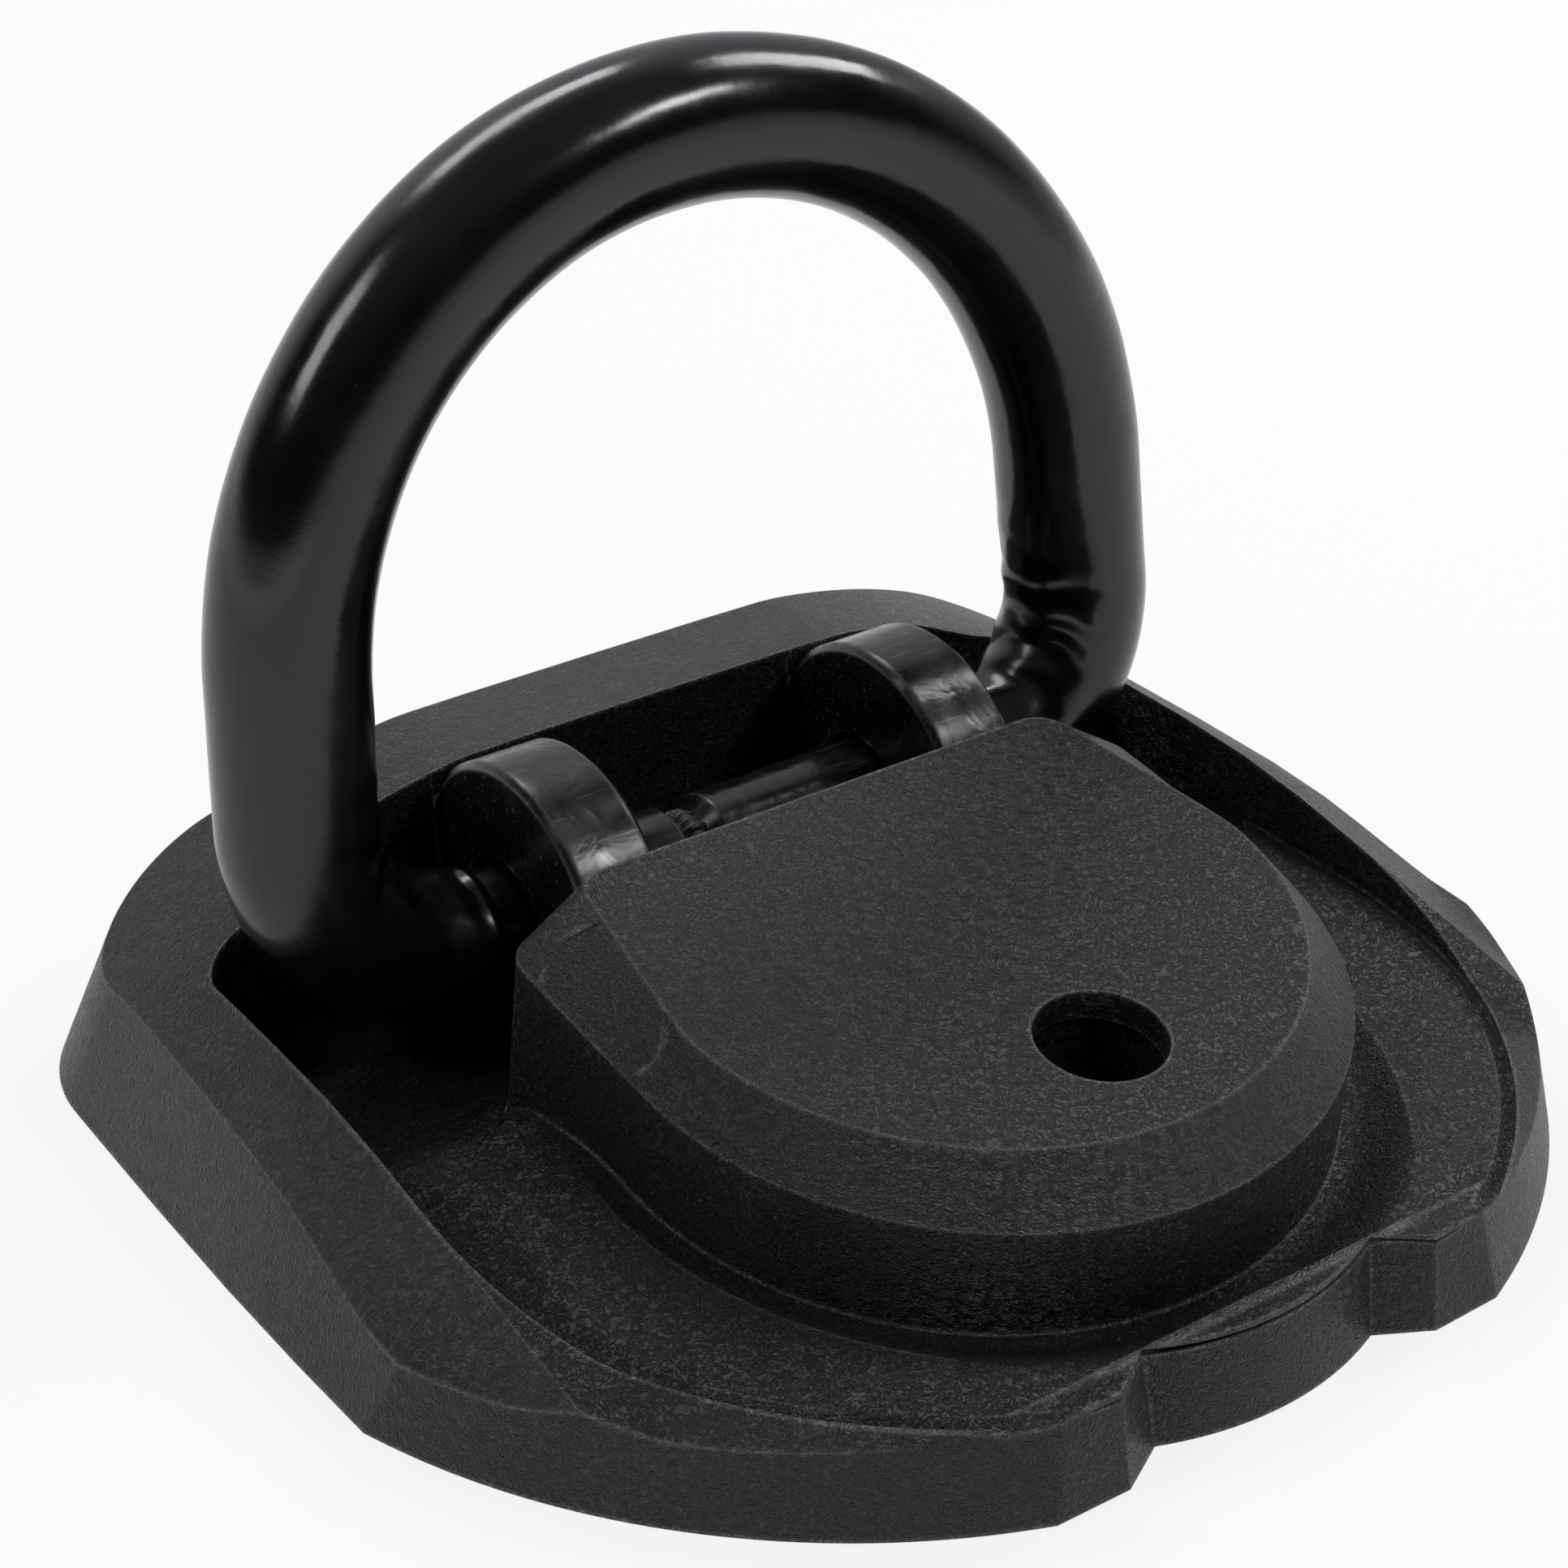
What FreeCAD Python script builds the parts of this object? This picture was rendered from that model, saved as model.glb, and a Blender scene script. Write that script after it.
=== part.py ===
"""Ground anchor: a steel plate with two lugs, a swinging shackle and a moulded cover.

Frame: X to the right, Y to the back, Z up, ground at z = 0, symmetry plane at x = 0.
The cover's front points towards -Y and its raised back lies towards +Y.
"""
import FreeCAD, Part
import Sketcher
import math
import os
import re

os.makedirs("parts", exist_ok=True)
doc = FreeCAD.newDocument("GroundAnchor")
sheet = doc.addObject("Spreadsheet::Sheet", "Sizes")

SIZES = [
    # cover, outline on the ground and the lean of its walls (mm inwards per mm of height)
    ("side_x", 86.0, "half width of the cover on the ground"),
    ("side_y", -25.0, "where the cover is widest"),
    ("back_side_x", 84.6, "half width where the back corners begin"),
    ("back_y", 46.0, "back edge on the ground"),
    ("corner_radius", 26.0, "plan radius of the back corners"),
    ("nose_angle", 72.37, "direction of the front corners, seen from the arc's centre, degrees"),
    ("nose_turn", 0.269, "how far that direction turns forwards, degrees per mm of height"),
    ("nose_radius", 89.4, "radius of the front arc"),
    ("nose_centre_y", -27.0, "centre of the front arc"),
    ("side_lean", 0.369, "lean of the side walls"),
    ("back_lean", 0.417, "lean of the back wall"),
    ("nose_lean", 0.21, "lean of the front wall"),
    ("block_rise", 40.0, "height at which the walls would end"),
    ("notch_x", 33.0, "half width of the front notch at its outer edges"),
    ("notch_land_x", 23.0, "half width where the notch steps in"),
    ("notch_foot_x", 16.3, "half width of the notch's back wall"),
    ("notch_land_set", 6.1, "the lands beside the notch, behind the front arc's tip"),
    ("notch_foot_set", 9.8, "the ends of the notch's back wall, behind that tip"),
    ("notch_mid_set", 6.5, "the middle of the notch's back wall, behind that tip"),
    ("notch_lean", 0.15, "lean of the notch's walls"),
    # cover, rim
    ("crest_x", 71.0, "half width inside the rim"),
    ("crest_rise", 21.8, "height of the rim's crest at the sides"),
    ("crest_low", 12.4, "height of the rim's crest at the front"),
    ("crest_arc_y", -45.0, "centre of the rim's inner front arc"),
    ("band_slope", 0.63, "fall of the rim's band, outwards"),
    ("ramp_y", -25.0, "where the crest starts to fall"),
    ("ramp_slope", 0.2, "fall of the crest towards the front"),
    ("low_band_rise", 8.0, "height of the front band's outer guide line"),
    ("low_band_radius", 96.2, "radius of that guide line"),
    ("low_band_y", -18.5, "centre of that guide line"),
    # cover, raised back
    ("hood_rise", 36.8, "top of the raised back"),
    ("hood_flat_x", 28.0, "half width of its level part"),
    ("hood_bow_x", 17.5, "centre of the bow of its shoulders"),
    ("hood_face_x", 43.0, "half width of its front face"),
    ("hood_fall", 0.1, "fall of the raised back towards the rear"),
    ("well_back_y", 13.9, "front face of the raised back, middle"),
    ("well_stop_y", 10.1, "front face of the raised back, behind the legs"),
    ("well_stop_x", 49.5, "where that face steps forward"),
    ("well_bend", 5.5, "plan radius of the well's outer corners"),
    # cover, floor of the trough
    ("floor_rise", 8.2, "floor of the well around the lugs"),
    ("step_y", -20.0, "front edge of the well"),
    ("step_round", 11.0, "rounding of that edge"),
    ("floor_top_y", -47.0, "top of the trough's bowed floor"),
    ("floor_top_rise", 14.6, "height of that top"),
    ("floor_bow_radius", 100.0, "radius of the bow"),
    ("floor_turn", 7.5, "steepest fall of the floor towards the front, degrees"),
    ("floor_low", 12.2, "height of the trough's floor at the front"),
    ("roll_width", 12.0, "band in which the floor rolls down to the rim"),
    ("roll_low", 11.2, "height of the floor at the rim"),
    ("roll_height", 3.6, "depth of that roll"),
    # cover, central boss, in a frame tilted with its top face
    ("boss_tilt", 7.46, "slope of the boss's top, degrees"),
    ("boss_rise", 41.0, "height of the boss's plane at y = 0"),
    ("boss_back", -22.3, "back edge of the top, along the slope"),
    ("boss_top_back_x", 36.6, "half width of the top at its back"),
    ("boss_top_x", 41.0, "half width of the top in front"),
    ("boss_top_arc_y", -51.7, "centre of the top's front arc"),
    ("boss_x", 46.3, "half width below the bevel"),
    ("boss_arc_y", -53.3, "centre of the front arc below the bevel"),
    ("boss_corner", 5.5, "rear corners of the boss"),
    ("bevel_drop", 6.3, "drop of the bevel"),
    ("boss_draft", 1.2, "growth of the boss to its foot"),
    ("gutter_width", 10.0, "distance of the gutter's shoulder from the boss"),
    ("gutter_drop", 20.7, "depth of the gutter under the boss's plane"),
    ("gutter_depth", 5.0, "height of the gutter's shoulder"),
    ("hole_y", -77.05, "cover screw hole, along the slope"),
    ("hole_radius", 8.0, "cover screw hole"),
    ("top_wall", 4.0, "thickness of the boss's top"),
    ("wall", 3.0, "thickness of the cover's walls"),
    ("tube_radius", 11.0, "outside of the screw tube inside the boss"),
    ("tube_bore", 8.8, "inside of the screw tube"),
    ("seat_rise", 8.6, "underside of the screw seat"),
    ("seat_wall", 2.6, "thickness of the screw seat"),
    # steel
    ("plate_x", 72.0, "half width of the base plate"),
    ("plate_back_y", 38.0, "back edge of the plate"),
    ("plate_front_y", -86.0, "front edge of the plate"),
    ("plate_cut", 34.0, "front corners cut off the plate"),
    ("plate_back_cut", 12.0, "back corners cut off the plate"),
    ("plate_gauge", 6.0, "thickness of the plate"),
    ("bolt_x", 25.0, "half spacing of the bolt holes"),
    ("bolt_back_y", -38.0, "back bolt holes"),
    ("bolt_front_y", -70.0, "front bolt holes"),
    ("bolt_radius", 5.5, "bolt holes"),
    ("lug_gap", 3.9, "gap between a lug and the end of the sleeve"),
    ("lug_gauge", 11.6, "thickness of a lug"),
    ("lug_radius", 20.6, "rounded top of a lug"),
    ("lug_y", -2.6, "middle of a lug"),
    ("lug_centre_rise", 21.8, "centre of the lug's rounding"),
    ("lug_edge", 0.8, "broken edges of the lugs"),
    ("pivot_y", -1.0, "shackle axis"),
    ("pivot_rise", 20.3, "shackle axis"),
    ("pivot_play", 0.08, "radial play of the shackle in the lugs"),
    ("bore_edge", 1.2, "countersink of the lug bores"),
    ("bead", 4.0, "leg of the weld beads at the lugs"),
    # shackle
    ("bar_radius", 8.0, "round bar of the shackle"),
    ("sleeve_radius", 10.0, "outside of the sleeve"),
    ("sleeve_play", 0.3, "gap between bar and sleeve"),
    ("arch_radius", 59.2, "centre line of the arch"),
    ("arch_rise", 36.8, "centre of the arch above the axis"),
    ("leg_flare", 3.4, "outward lean of the legs, degrees"),
    ("bend_radius", 21.0, "centre line of the lower bends"),
    ("lean_back", 4.8, "lean of the shackle at rest, degrees"),
    ("joint_x", -6.0, "where the bar's tips meet"),
    ("tip_gap", 0.5, "gap between the tips"),
    ("tip_edge", 3.0, "chamfer of the tips"),
    ("sleeve_tail", 1.7, "straight end of the sleeve beyond its bend"),
    # cover screw
    ("screw_radius", 4.0, "screw thread"),
    ("head_radius", 7.0, "screw head"),
    ("head_rise", 4.4, "height of the screw head"),
    ("socket_across", 5.0, "hexagon socket"),
    ("washer_radius", 8.0, "washer"),
    ("washer_gauge", 1.6, "thickness of the washer"),
]

row = 1
for alias, value, meaning in SIZES:
    sheet.set("A%d" % row, alias)
    sheet.set("B%d" % row, repr(value))
    sheet.setAlias("B%d" % row, alias)
    sheet.set("C%d" % row, meaning)
    row = row + 1
doc.recompute()
VALUE = {alias: value for alias, value, meaning in SIZES}
WORDS = sorted(VALUE, key=len, reverse=True)
PATTERN = re.compile(r"\b(" + "|".join(WORDS) + r")\b")


def cells(text):
    """An expression in which every size name points at its cell."""
    return PATTERN.sub(r"Sizes.\1", text)


def number(text):
    """The value that such an expression has with the present sizes."""
    return float(sheet.evalExpression(cells(text)))


def bind(item, prop, text):
    item.setExpression(prop, cells(text))


def add(kind, name):
    item = doc.addObject(kind, name)
    item.Label = name
    return item


def place(item, x=None, y=None, z=None):
    if x is not None:
        bind(item, ".Placement.Base.x", x)
    if y is not None:
        bind(item, ".Placement.Base.y", y)
    if z is not None:
        bind(item, ".Placement.Base.z", z)


def box(name, x0, x1, y0, y1, z0, z1):
    item = add("Part::Box", name)
    bind(item, "Length", "(%s) - (%s)" % (x1, x0))
    bind(item, "Width", "(%s) - (%s)" % (y1, y0))
    bind(item, "Height", "(%s) - (%s)" % (z1, z0))
    place(item, x0, y0, z0)
    return item


def rod(name, radius, x, y, z0, z1):
    item = add("Part::Cylinder", name)
    bind(item, "Radius", radius)
    bind(item, "Height", "(%s) - (%s)" % (z1, z0))
    place(item, x, y, z0)
    return item


def cross_rod(name, radius, x0, x1, y, z):
    """A cylinder along X."""
    item = add("Part::Cylinder", name)
    bind(item, "Radius", radius)
    bind(item, "Height", "(%s) - (%s)" % (x1, x0))
    item.Placement = FreeCAD.Placement(
        FreeCAD.Vector(0, 0, 0), FreeCAD.Rotation(FreeCAD.Vector(0, 1, 0), 90))
    place(item, x0, y, z)
    return item


def cross_cone(name, radius0, radius1, x0, x1, y, z):
    """A cone along X, from radius0 at x0 to radius1 at x1."""
    item = add("Part::Cone", name)
    bind(item, "Radius1", radius0)
    bind(item, "Radius2", radius1)
    bind(item, "Height", "(%s) - (%s)" % (x1, x0))
    item.Placement = FreeCAD.Placement(
        FreeCAD.Vector(0, 0, 0), FreeCAD.Rotation(FreeCAD.Vector(0, 1, 0), 90))
    place(item, x0, y, z)
    return item


def fuse(name, items):
    item = add("Part::MultiFuse", name)
    item.Shapes = items
    return item


def common(name, items):
    item = add("Part::MultiCommon", name)
    item.Shapes = items
    return item


def cut(name, base, tool):
    item = add("Part::Cut", name)
    item.Base = base
    item.Tool = tool
    return item


PLANES = {
    "XY": FreeCAD.Rotation(),
    "XZ": FreeCAD.Rotation(FreeCAD.Vector(1, 0, 0), 90),
    "YZ": FreeCAD.Rotation(FreeCAD.Vector(1, 1, 1), 120),
}


def profile(name, plane, corners, level="0", arcs=None, closed=True):
    """A sketch through corners given as pairs of expressions.

    arcs maps the index of a side to (coordinate, expression, sense): the side
    bows as an arc whose centre has that x or y, run counter-clockwise or not.
    """
    arcs = arcs or {}
    sketch = add("Sketcher::SketchObject", name)
    sketch.Placement = FreeCAD.Placement(FreeCAD.Vector(0, 0, 0), PLANES[plane])
    points = [FreeCAD.Vector(number(u), number(v), 0) for u, v in corners]
    count = len(points)
    sides = count if closed else count - 1
    for side in range(sides):
        start = points[side]
        end = points[(side + 1) % count]
        if side in arcs:
            axis, text, turns_left = arcs[side]
            centre = arc_centre(start, end, axis, number(text))
            radius = (start - centre).Length
            circle = Part.Circle(centre, FreeCAD.Vector(0, 0, 1), radius)
            first = start if turns_left else end
            last = end if turns_left else start
            low = math.atan2(first.y - centre.y, first.x - centre.x)
            high = math.atan2(last.y - centre.y, last.x - centre.x)
            if high <= low:
                high = high + 2 * math.pi
            sketch.addGeometry(Part.ArcOfCircle(circle, low, high), False)
        else:
            sketch.addGeometry(Part.LineSegment(start, end), False)

    def start_of(side):
        if side in arcs and not arcs[side][2]:
            return 2
        return 1

    for side in range(sides if closed else sides - 1):
        after = (side + 1) % count
        sketch.addConstraint(Sketcher.Constraint(
            "Coincident", side, 3 - start_of(side), after, start_of(after)))
    for corner in range(count):
        u, v = corners[corner]
        side = min(corner, sides - 1)
        at = start_of(side) if corner < sides else 3 - start_of(side)
        for kind, text, value in (("DistanceX", u, points[corner].x),
                                  ("DistanceY", v, points[corner].y)):
            index = sketch.addConstraint(Sketcher.Constraint(kind, -1, 1, side, at, value))
            sketch.setExpression("Constraints[%d]" % index, cells(text))
        if corner in arcs:
            axis, text, turns_left = arcs[corner]
            kind = "DistanceX" if axis == "x" else "DistanceY"
            value = number(text)
            index = sketch.addConstraint(Sketcher.Constraint(kind, -1, 1, side, 3, value))
            sketch.setExpression("Constraints[%d]" % index, cells(text))
    if plane == "XY":
        place(sketch, z=level)
    elif plane == "XZ":
        place(sketch, y=level)
    else:
        place(sketch, x=level)
    return sketch


def arc_centre(start, end, axis, value):
    """The point at equal distance from both ends that has the given x or y."""
    middle = (start + end) * 0.5
    side = end - start
    if axis == "x":
        y = middle.y - (value - middle.x) * side.x / side.y
        return FreeCAD.Vector(value, y, 0)
    x = middle.x - (value - middle.y) * side.y / side.x
    return FreeCAD.Vector(x, value, 0)


def sweep_along(name, sketch, direction, length):
    """Extrusion of a sketch along a direction given as three expressions."""
    item = add("Part::Extrusion", name)
    item.Base = sketch
    item.DirMode = "Custom"
    item.Solid = True
    item.Dir = FreeCAD.Vector(0, 0, 1)
    for letter, text in zip("xyz", direction):
        bind(item, "Dir.%s" % letter, text)
    bind(item, "LengthFwd", length)
    return item


def loft(name, sketches):
    item = add("Part::Loft", name)
    item.Sections = sketches
    item.Solid = True
    item.Ruled = True
    return item


def mirrored(right):
    """Corners of the right half, bottom to top, followed by their mirror images."""
    left = [("-(%s)" % u, v) for u, v in reversed(right)]
    return right + left


# shackle: centre line in a plane that stands upright, tipped back afterwards
leg_top_x = "arch_radius*cos(leg_flare)"
leg_top_z = "arch_rise + arch_radius*sin(leg_flare)"
leg_foot_z = "bend_radius*(1 + sin(leg_flare))"
leg_foot_x = "(%s) + ((%s) - (%s))*tan(leg_flare)" % (leg_top_x, leg_top_z, leg_foot_z)
bend_x = "(%s) - bend_radius*cos(leg_flare)" % leg_foot_x
sleeve_end_x = "(%s) - sleeve_tail" % bend_x
lug_out = "(%s) - lug_gap" % sleeve_end_x
lug_in = "(%s) - lug_gauge" % lug_out

# cover: outer block
def block_outline(name, rise, inset, level):
    """The cover's outline at a height; inset moves every wall inwards."""
    side = "side_x - side_lean*(%s) - (%s)" % (rise, inset)
    rear_side = "back_side_x - side_lean*(%s) - (%s)" % (rise, inset)
    rear = "back_y - back_lean*(%s) - (%s)" % (rise, inset)
    bend = "corner_radius - 0.28*(%s)" % rise
    radius = "nose_radius - nose_lean*(%s) - (%s)" % (rise, inset)
    nose_x = "(%s)*sin(nose_angle - nose_turn*(%s))" % (radius, rise)
    nose_y = "nose_centre_y - (%s)*cos(nose_angle - nose_turn*(%s))" % (radius, rise)
    edge_x = "notch_x - 0.155*(%s)" % rise
    edge_y = "nose_centre_y - sqrt((%s)^2 - (%s)^2)" % (radius, edge_x)
    land_x = "notch_land_x + 0.025*(%s)" % rise
    tip_y = "nose_centre_y - nose_radius"
    land_y = "%s + notch_land_set + notch_lean*(%s) + (%s)" % (tip_y, rise, inset)
    foot_x = "notch_foot_x + 0.055*(%s)" % rise
    foot_y = "%s + notch_foot_set + 0.19*(%s) + (%s)" % (tip_y, rise, inset)
    middle_y = "%s + notch_mid_set + notch_lean*(%s) + (%s)" % (tip_y, rise, inset)
    right = [
        (foot_x, foot_y),
        (land_x, land_y),
        (edge_x, edge_y),
        (nose_x, nose_y),
        (side, "side_y"),
        (rear_side, "(%s) - (%s)" % (rear, bend)),
        ("(%s) - (%s)" % (rear_side, bend), rear),
    ]
    corners = mirrored(right)
    half = len(right)
    # the bowed wall of the notch closes the outline
    bow = "((%s)^2 + (%s)^2 - (%s)^2)/(2*((%s) - (%s)))" % (
        foot_x, foot_y, middle_y, foot_y, middle_y)
    arcs = {
        2: ("x", "0", True),
        5: ("y", "(%s) - (%s)" % (rear, bend), True),
        half: ("x", "-((%s) - (%s))" % (rear_side, bend), True),
        2 * half - 4: ("x", "0", True),
        2 * half - 1: ("y", bow, True),
    }
    return profile(name, "XY", corners, level, arcs)


block = loft("CoverBlock", [
    block_outline("GroundOutline", "0", "0", "0"),
    block_outline("UpperOutline", "block_rise", "0", "block_rise"),
])

# cover: rim and raised back
RIM = mirrored([
    ("100", "-20"),
    ("100", "crest_rise - band_slope*(100 - crest_x)"),
    ("crest_x", "crest_rise"),
    ("hood_flat_x", "hood_rise"),
])
SHOULDERS = {2: ("x", "hood_bow_x", True), 4: ("x", "-hood_bow_x", True)}
RAMP = mirrored([
    ("100", "-20"),
    ("100", "crest_rise - band_slope*(100 - crest_x)"),
    ("crest_x", "crest_rise"),
])
rim_level = sweep_along(
    "RimLevel", profile("RimProfile", "XZ", RIM, "well_back_y", SHOULDERS), ("0", "-1", "0"),
    "well_back_y - ramp_y")
rim_rear = sweep_along(
    "RimRear", profile("RimRearProfile", "XZ", RIM, "well_back_y", SHOULDERS),
    ("0", "1", "-hood_fall"), "60")
rim_ramp = sweep_along(
    "RimRamp", profile("RimRampProfile", "XZ", RAMP, "ramp_y"), ("0", "-1", "-ramp_slope"), "75")


def u_outline(name, half, centre_y, rear_y, level):
    """Two straight sides joined by a front arc."""
    corners = [
        ("-(%s)" % half, centre_y),
        (half, centre_y),
        (half, rear_y),
        ("-(%s)" % half, rear_y),
    ]
    return profile(name, "XY", corners, level, {0: ("y", centre_y + " - 0.001", True)})


rim_front = loft("RimFront", [
    u_outline("LowBandOutline", "low_band_radius", "low_band_y", "60", "low_band_rise"),
    u_outline("CrestOutline", "crest_x - 0.2", "crest_arc_y", "60", "crest_low"),
])
rim_foot = box("RimFoot", "-110", "110", "-130", "60", "-1", "low_band_rise")
rims = fuse("Rims", [rim_level, rim_rear, rim_ramp, rim_front, rim_foot])

# cover: trough and well
well = profile("WellOutline", "XY", [
    ("-crest_x", "crest_arc_y"),
    ("crest_x", "crest_arc_y"),
    ("crest_x", "well_stop_y - well_bend"),
    ("crest_x - well_bend", "well_stop_y"),
    ("well_stop_x", "well_stop_y"),
    ("hood_face_x", "well_back_y"),
    ("-hood_face_x", "well_back_y"),
    ("-well_stop_x", "well_stop_y"),
    ("-(crest_x - well_bend)", "well_stop_y"),
    ("-crest_x", "well_stop_y - well_bend"),
], "floor_rise", {
    0: ("y", "crest_arc_y - 0.001", True),
    2: ("y", "well_stop_y - well_bend", True),
    8: ("y", "well_stop_y - well_bend", True),
})
well_space = sweep_along("WellSpace", well, ("0", "0", "1"), "50")

# the floor bows over its top and runs out into the low front in a second, hollow bow
bow_z = "(floor_top_rise - floor_bow_radius)"
edge_y = "(step_y - step_round)"
edge_z = bow_z + " + sqrt(floor_bow_radius^2 - (%s - floor_top_y)^2)" % edge_y
turn_y = "floor_top_y - floor_bow_radius*sin(floor_turn)"
turn_z = bow_z + " + floor_bow_radius*cos(floor_turn)"
hollow_radius = "(%s - floor_low)/(1 - cos(floor_turn))" % turn_z
floor = profile("FloorProfile", "YZ", [
    ("step_y", "0"),
    ("step_y", "%s - step_round*1.1" % edge_z),
    (edge_y, edge_z),
    (turn_y, turn_z),
    ("%s - (%s)*sin(floor_turn)" % (turn_y, hollow_radius), "floor_low"),
    ("-130", "floor_low"),
    ("-130", "0"),
], "-90", {
    1: ("y", "%s - step_round*1.1" % edge_z, True),
    2: ("y", bow_z, True),
    3: ("x", "%s - (%s)*sin(floor_turn)" % (turn_y, hollow_radius), False),
})
floor_block = sweep_along("FloorBlock", floor, ("1", "0", "0"), "180")
# towards the rim the floor rolls down, so that the crest stands out as a lip
roll_steps = []
for index, (inside, rise) in enumerate((("-0.2", "-0.5"), ("0", "0"), ("0.25", "0.42"),
                                        ("0.55", "0.75"), ("1", "1"), ("1.6", "1.25"))):
    roll_steps.append(u_outline(
        "RollStep%d" % index, "crest_x - roll_width*(%s)" % inside, "crest_arc_y", "60",
        "roll_low + roll_height*(%s)" % rise))
roll_dome = loft("RollDome", roll_steps)
roll_dome.Ruled = False
roll_base = box("RollBase", "-95", "95", "-135", "60", "-1", "roll_low - roll_height*0.5")
floor_shape = common("FloorShape", [floor_block, fuse("RollBody", [roll_dome, roll_base])])
trough = cut("Trough", well_space, floor_shape)


# cover: boss
def boss_outline(name, half, rear_half, arc_y, rear_y, bend, level):
    """The boss's outline in its own tilted frame."""
    right = [
        (half, arc_y),
        (rear_half, "(%s) - (%s)" % (rear_y, bend)),
        ("(%s) - (%s)" % (rear_half, bend), rear_y),
    ]
    left = [("-(%s)" % u, v) for u, v in reversed(right)]
    corners = right + left
    arcs = {
        1: ("y", "(%s) - (%s)" % (rear_y, bend), True),
        3: ("x", "-((%s) - (%s))" % (rear_half, bend), True),
        5: ("y", arc_y + " - 0.001", True),
    }
    return profile(name, "XY", corners, level, arcs)


def tilt(item):
    """Lay an item of the tilted frame onto the slope of the boss's top."""
    item.Placement = FreeCAD.Placement(
        FreeCAD.Vector(0, 0, 0), FreeCAD.Rotation(FreeCAD.Vector(1, 0, 0), 1))
    bind(item, ".Placement.Rotation.Angle", "boss_tilt")
    bind(item, ".Placement.Base.z", "boss_rise")
    return item


boss = tilt(loft("Boss", [
    boss_outline("BossFoot", "boss_x + boss_draft", "boss_x + boss_draft", "boss_arc_y",
                 "boss_back", "boss_corner + boss_draft", "-38"),
    boss_outline("BossBrow", "boss_x", "boss_x", "boss_arc_y", "boss_back",
                 "boss_corner", "-bevel_drop"),
    boss_outline("BossTop", "boss_top_x", "boss_top_back_x", "boss_top_arc_y",
                 "boss_back", "boss_corner - 1", "0"),
]))
# the gutter's slope is an S: hollow at its foot and rounded over at its shoulder
gutter_steps = []
for index, (away, rise) in enumerate((("0.13", "0"), ("0.42", "0.14"), ("0.70", "0.56"),
                                      ("0.96", "0.92"), ("1.30", "1.07"), ("1.80", "1.13"))):
    gutter_steps.append(u_outline(
        "GutterStep%d" % index, "boss_x + gutter_width*" + away, "boss_arc_y", "boss_back",
        "gutter_depth*%s - gutter_drop" % rise))
gutter = loft("Gutter", gutter_steps)
gutter.Ruled = False
tilt(gutter)
gutter_block = box("GutterBlock", "-90", "90", "-125", "boss_arc_y + 22", "0", "16")
gutter_space = common("GutterSpace", [gutter, gutter_block])

shell_parts = [
    cut("RimShell", cut("RimTrough", rims, trough), gutter_space),
    boss,
]
outer = common("CoverOuter", [block, fuse("CoverMass", shell_parts)])

# cover: hollows underneath
boss_hollow = tilt(loft("BossHollow", [
    boss_outline("HollowFoot", "boss_x - wall", "boss_x - wall", "boss_arc_y",
                 "boss_back - wall - 1", "boss_corner", "-48"),
    boss_outline("HollowBrow", "boss_x - wall", "boss_x - wall", "boss_arc_y",
                 "boss_back - wall", "boss_corner", "-bevel_drop - 2"),
    boss_outline("HollowTop", "boss_top_x - wall", "boss_top_back_x - wall",
                 "boss_top_arc_y", "boss_back - wall", "boss_corner - 1", "-top_wall"),
]))
low_hollow = loft("LowHollow", [
    block_outline("HollowGround", "0", "wall", "-1"),
    block_outline("HollowCeiling", "10.2", "wall + 0.6", "9.2"),
])
slab_outline = profile("SlabOutline", "XY", [
    ("-100", "-140"),
    ("100", "-140"),
    ("100", "80"),
    ("-100", "80"),
], "-70")
slab = tilt(sweep_along("HollowSlab", slab_outline, ("0", "0", "1"), "70 - gutter_drop - wall"))
well_cap = box("WellCap", "-100", "100", "step_y - wall", "60", "floor_rise - 2", "30")
floor_hollow = cut("FloorHollow", common("FloorHollowRaw", [low_hollow, slab]), well_cap)

rim_hollow_corners = [
    ("crest_x + wall", "-1"),
    ("side_x - wall - 1.2", "-1"),
    ("side_x - wall - 1.2 - side_lean*14", "13"),
    ("crest_x + wall", "crest_rise - wall - 3.2"),
]
rim_hollows = []
for name, sign in (("Right", ""), ("Left", "-")):
    corners = [("%s(%s)" % (sign, u), v) for u, v in rim_hollow_corners]
    outline = profile(name + "RimHollowProfile", "XZ", corners, "ramp_y - 5")
    rim_hollows.append(sweep_along(name + "RimHollow", outline, ("0", "1", "0"), "45"))

hood_hollow_profile = profile("HoodHollowProfile", "XZ", mirrored([
    ("crest_x - 6", "-1"),
    ("crest_x - 6", "crest_rise - wall - 1"),
    ("hood_face_x", "(hood_rise + crest_rise)/2 + 5.2 - wall - 1.5"),
    ("hood_flat_x", "hood_rise - wall - 1.5"),
]), "well_back_y + wall")
hood_hollow_raw = sweep_along("HoodHollowRaw", hood_hollow_profile, ("0", "1", "-hood_fall"), "40")
hood_limit = loft("HoodLimit", [
    block_outline("HoodLimitGround", "0", "wall + 0.5", "-2"),
    block_outline("HoodLimitUpper", "block_rise", "wall + 0.5", "block_rise - 2"),
])
hood_hollow = common("HoodHollow", [hood_hollow_raw, hood_limit])
hollows = fuse("Hollows", [boss_hollow, floor_hollow, hood_hollow] + rim_hollows)

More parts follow.
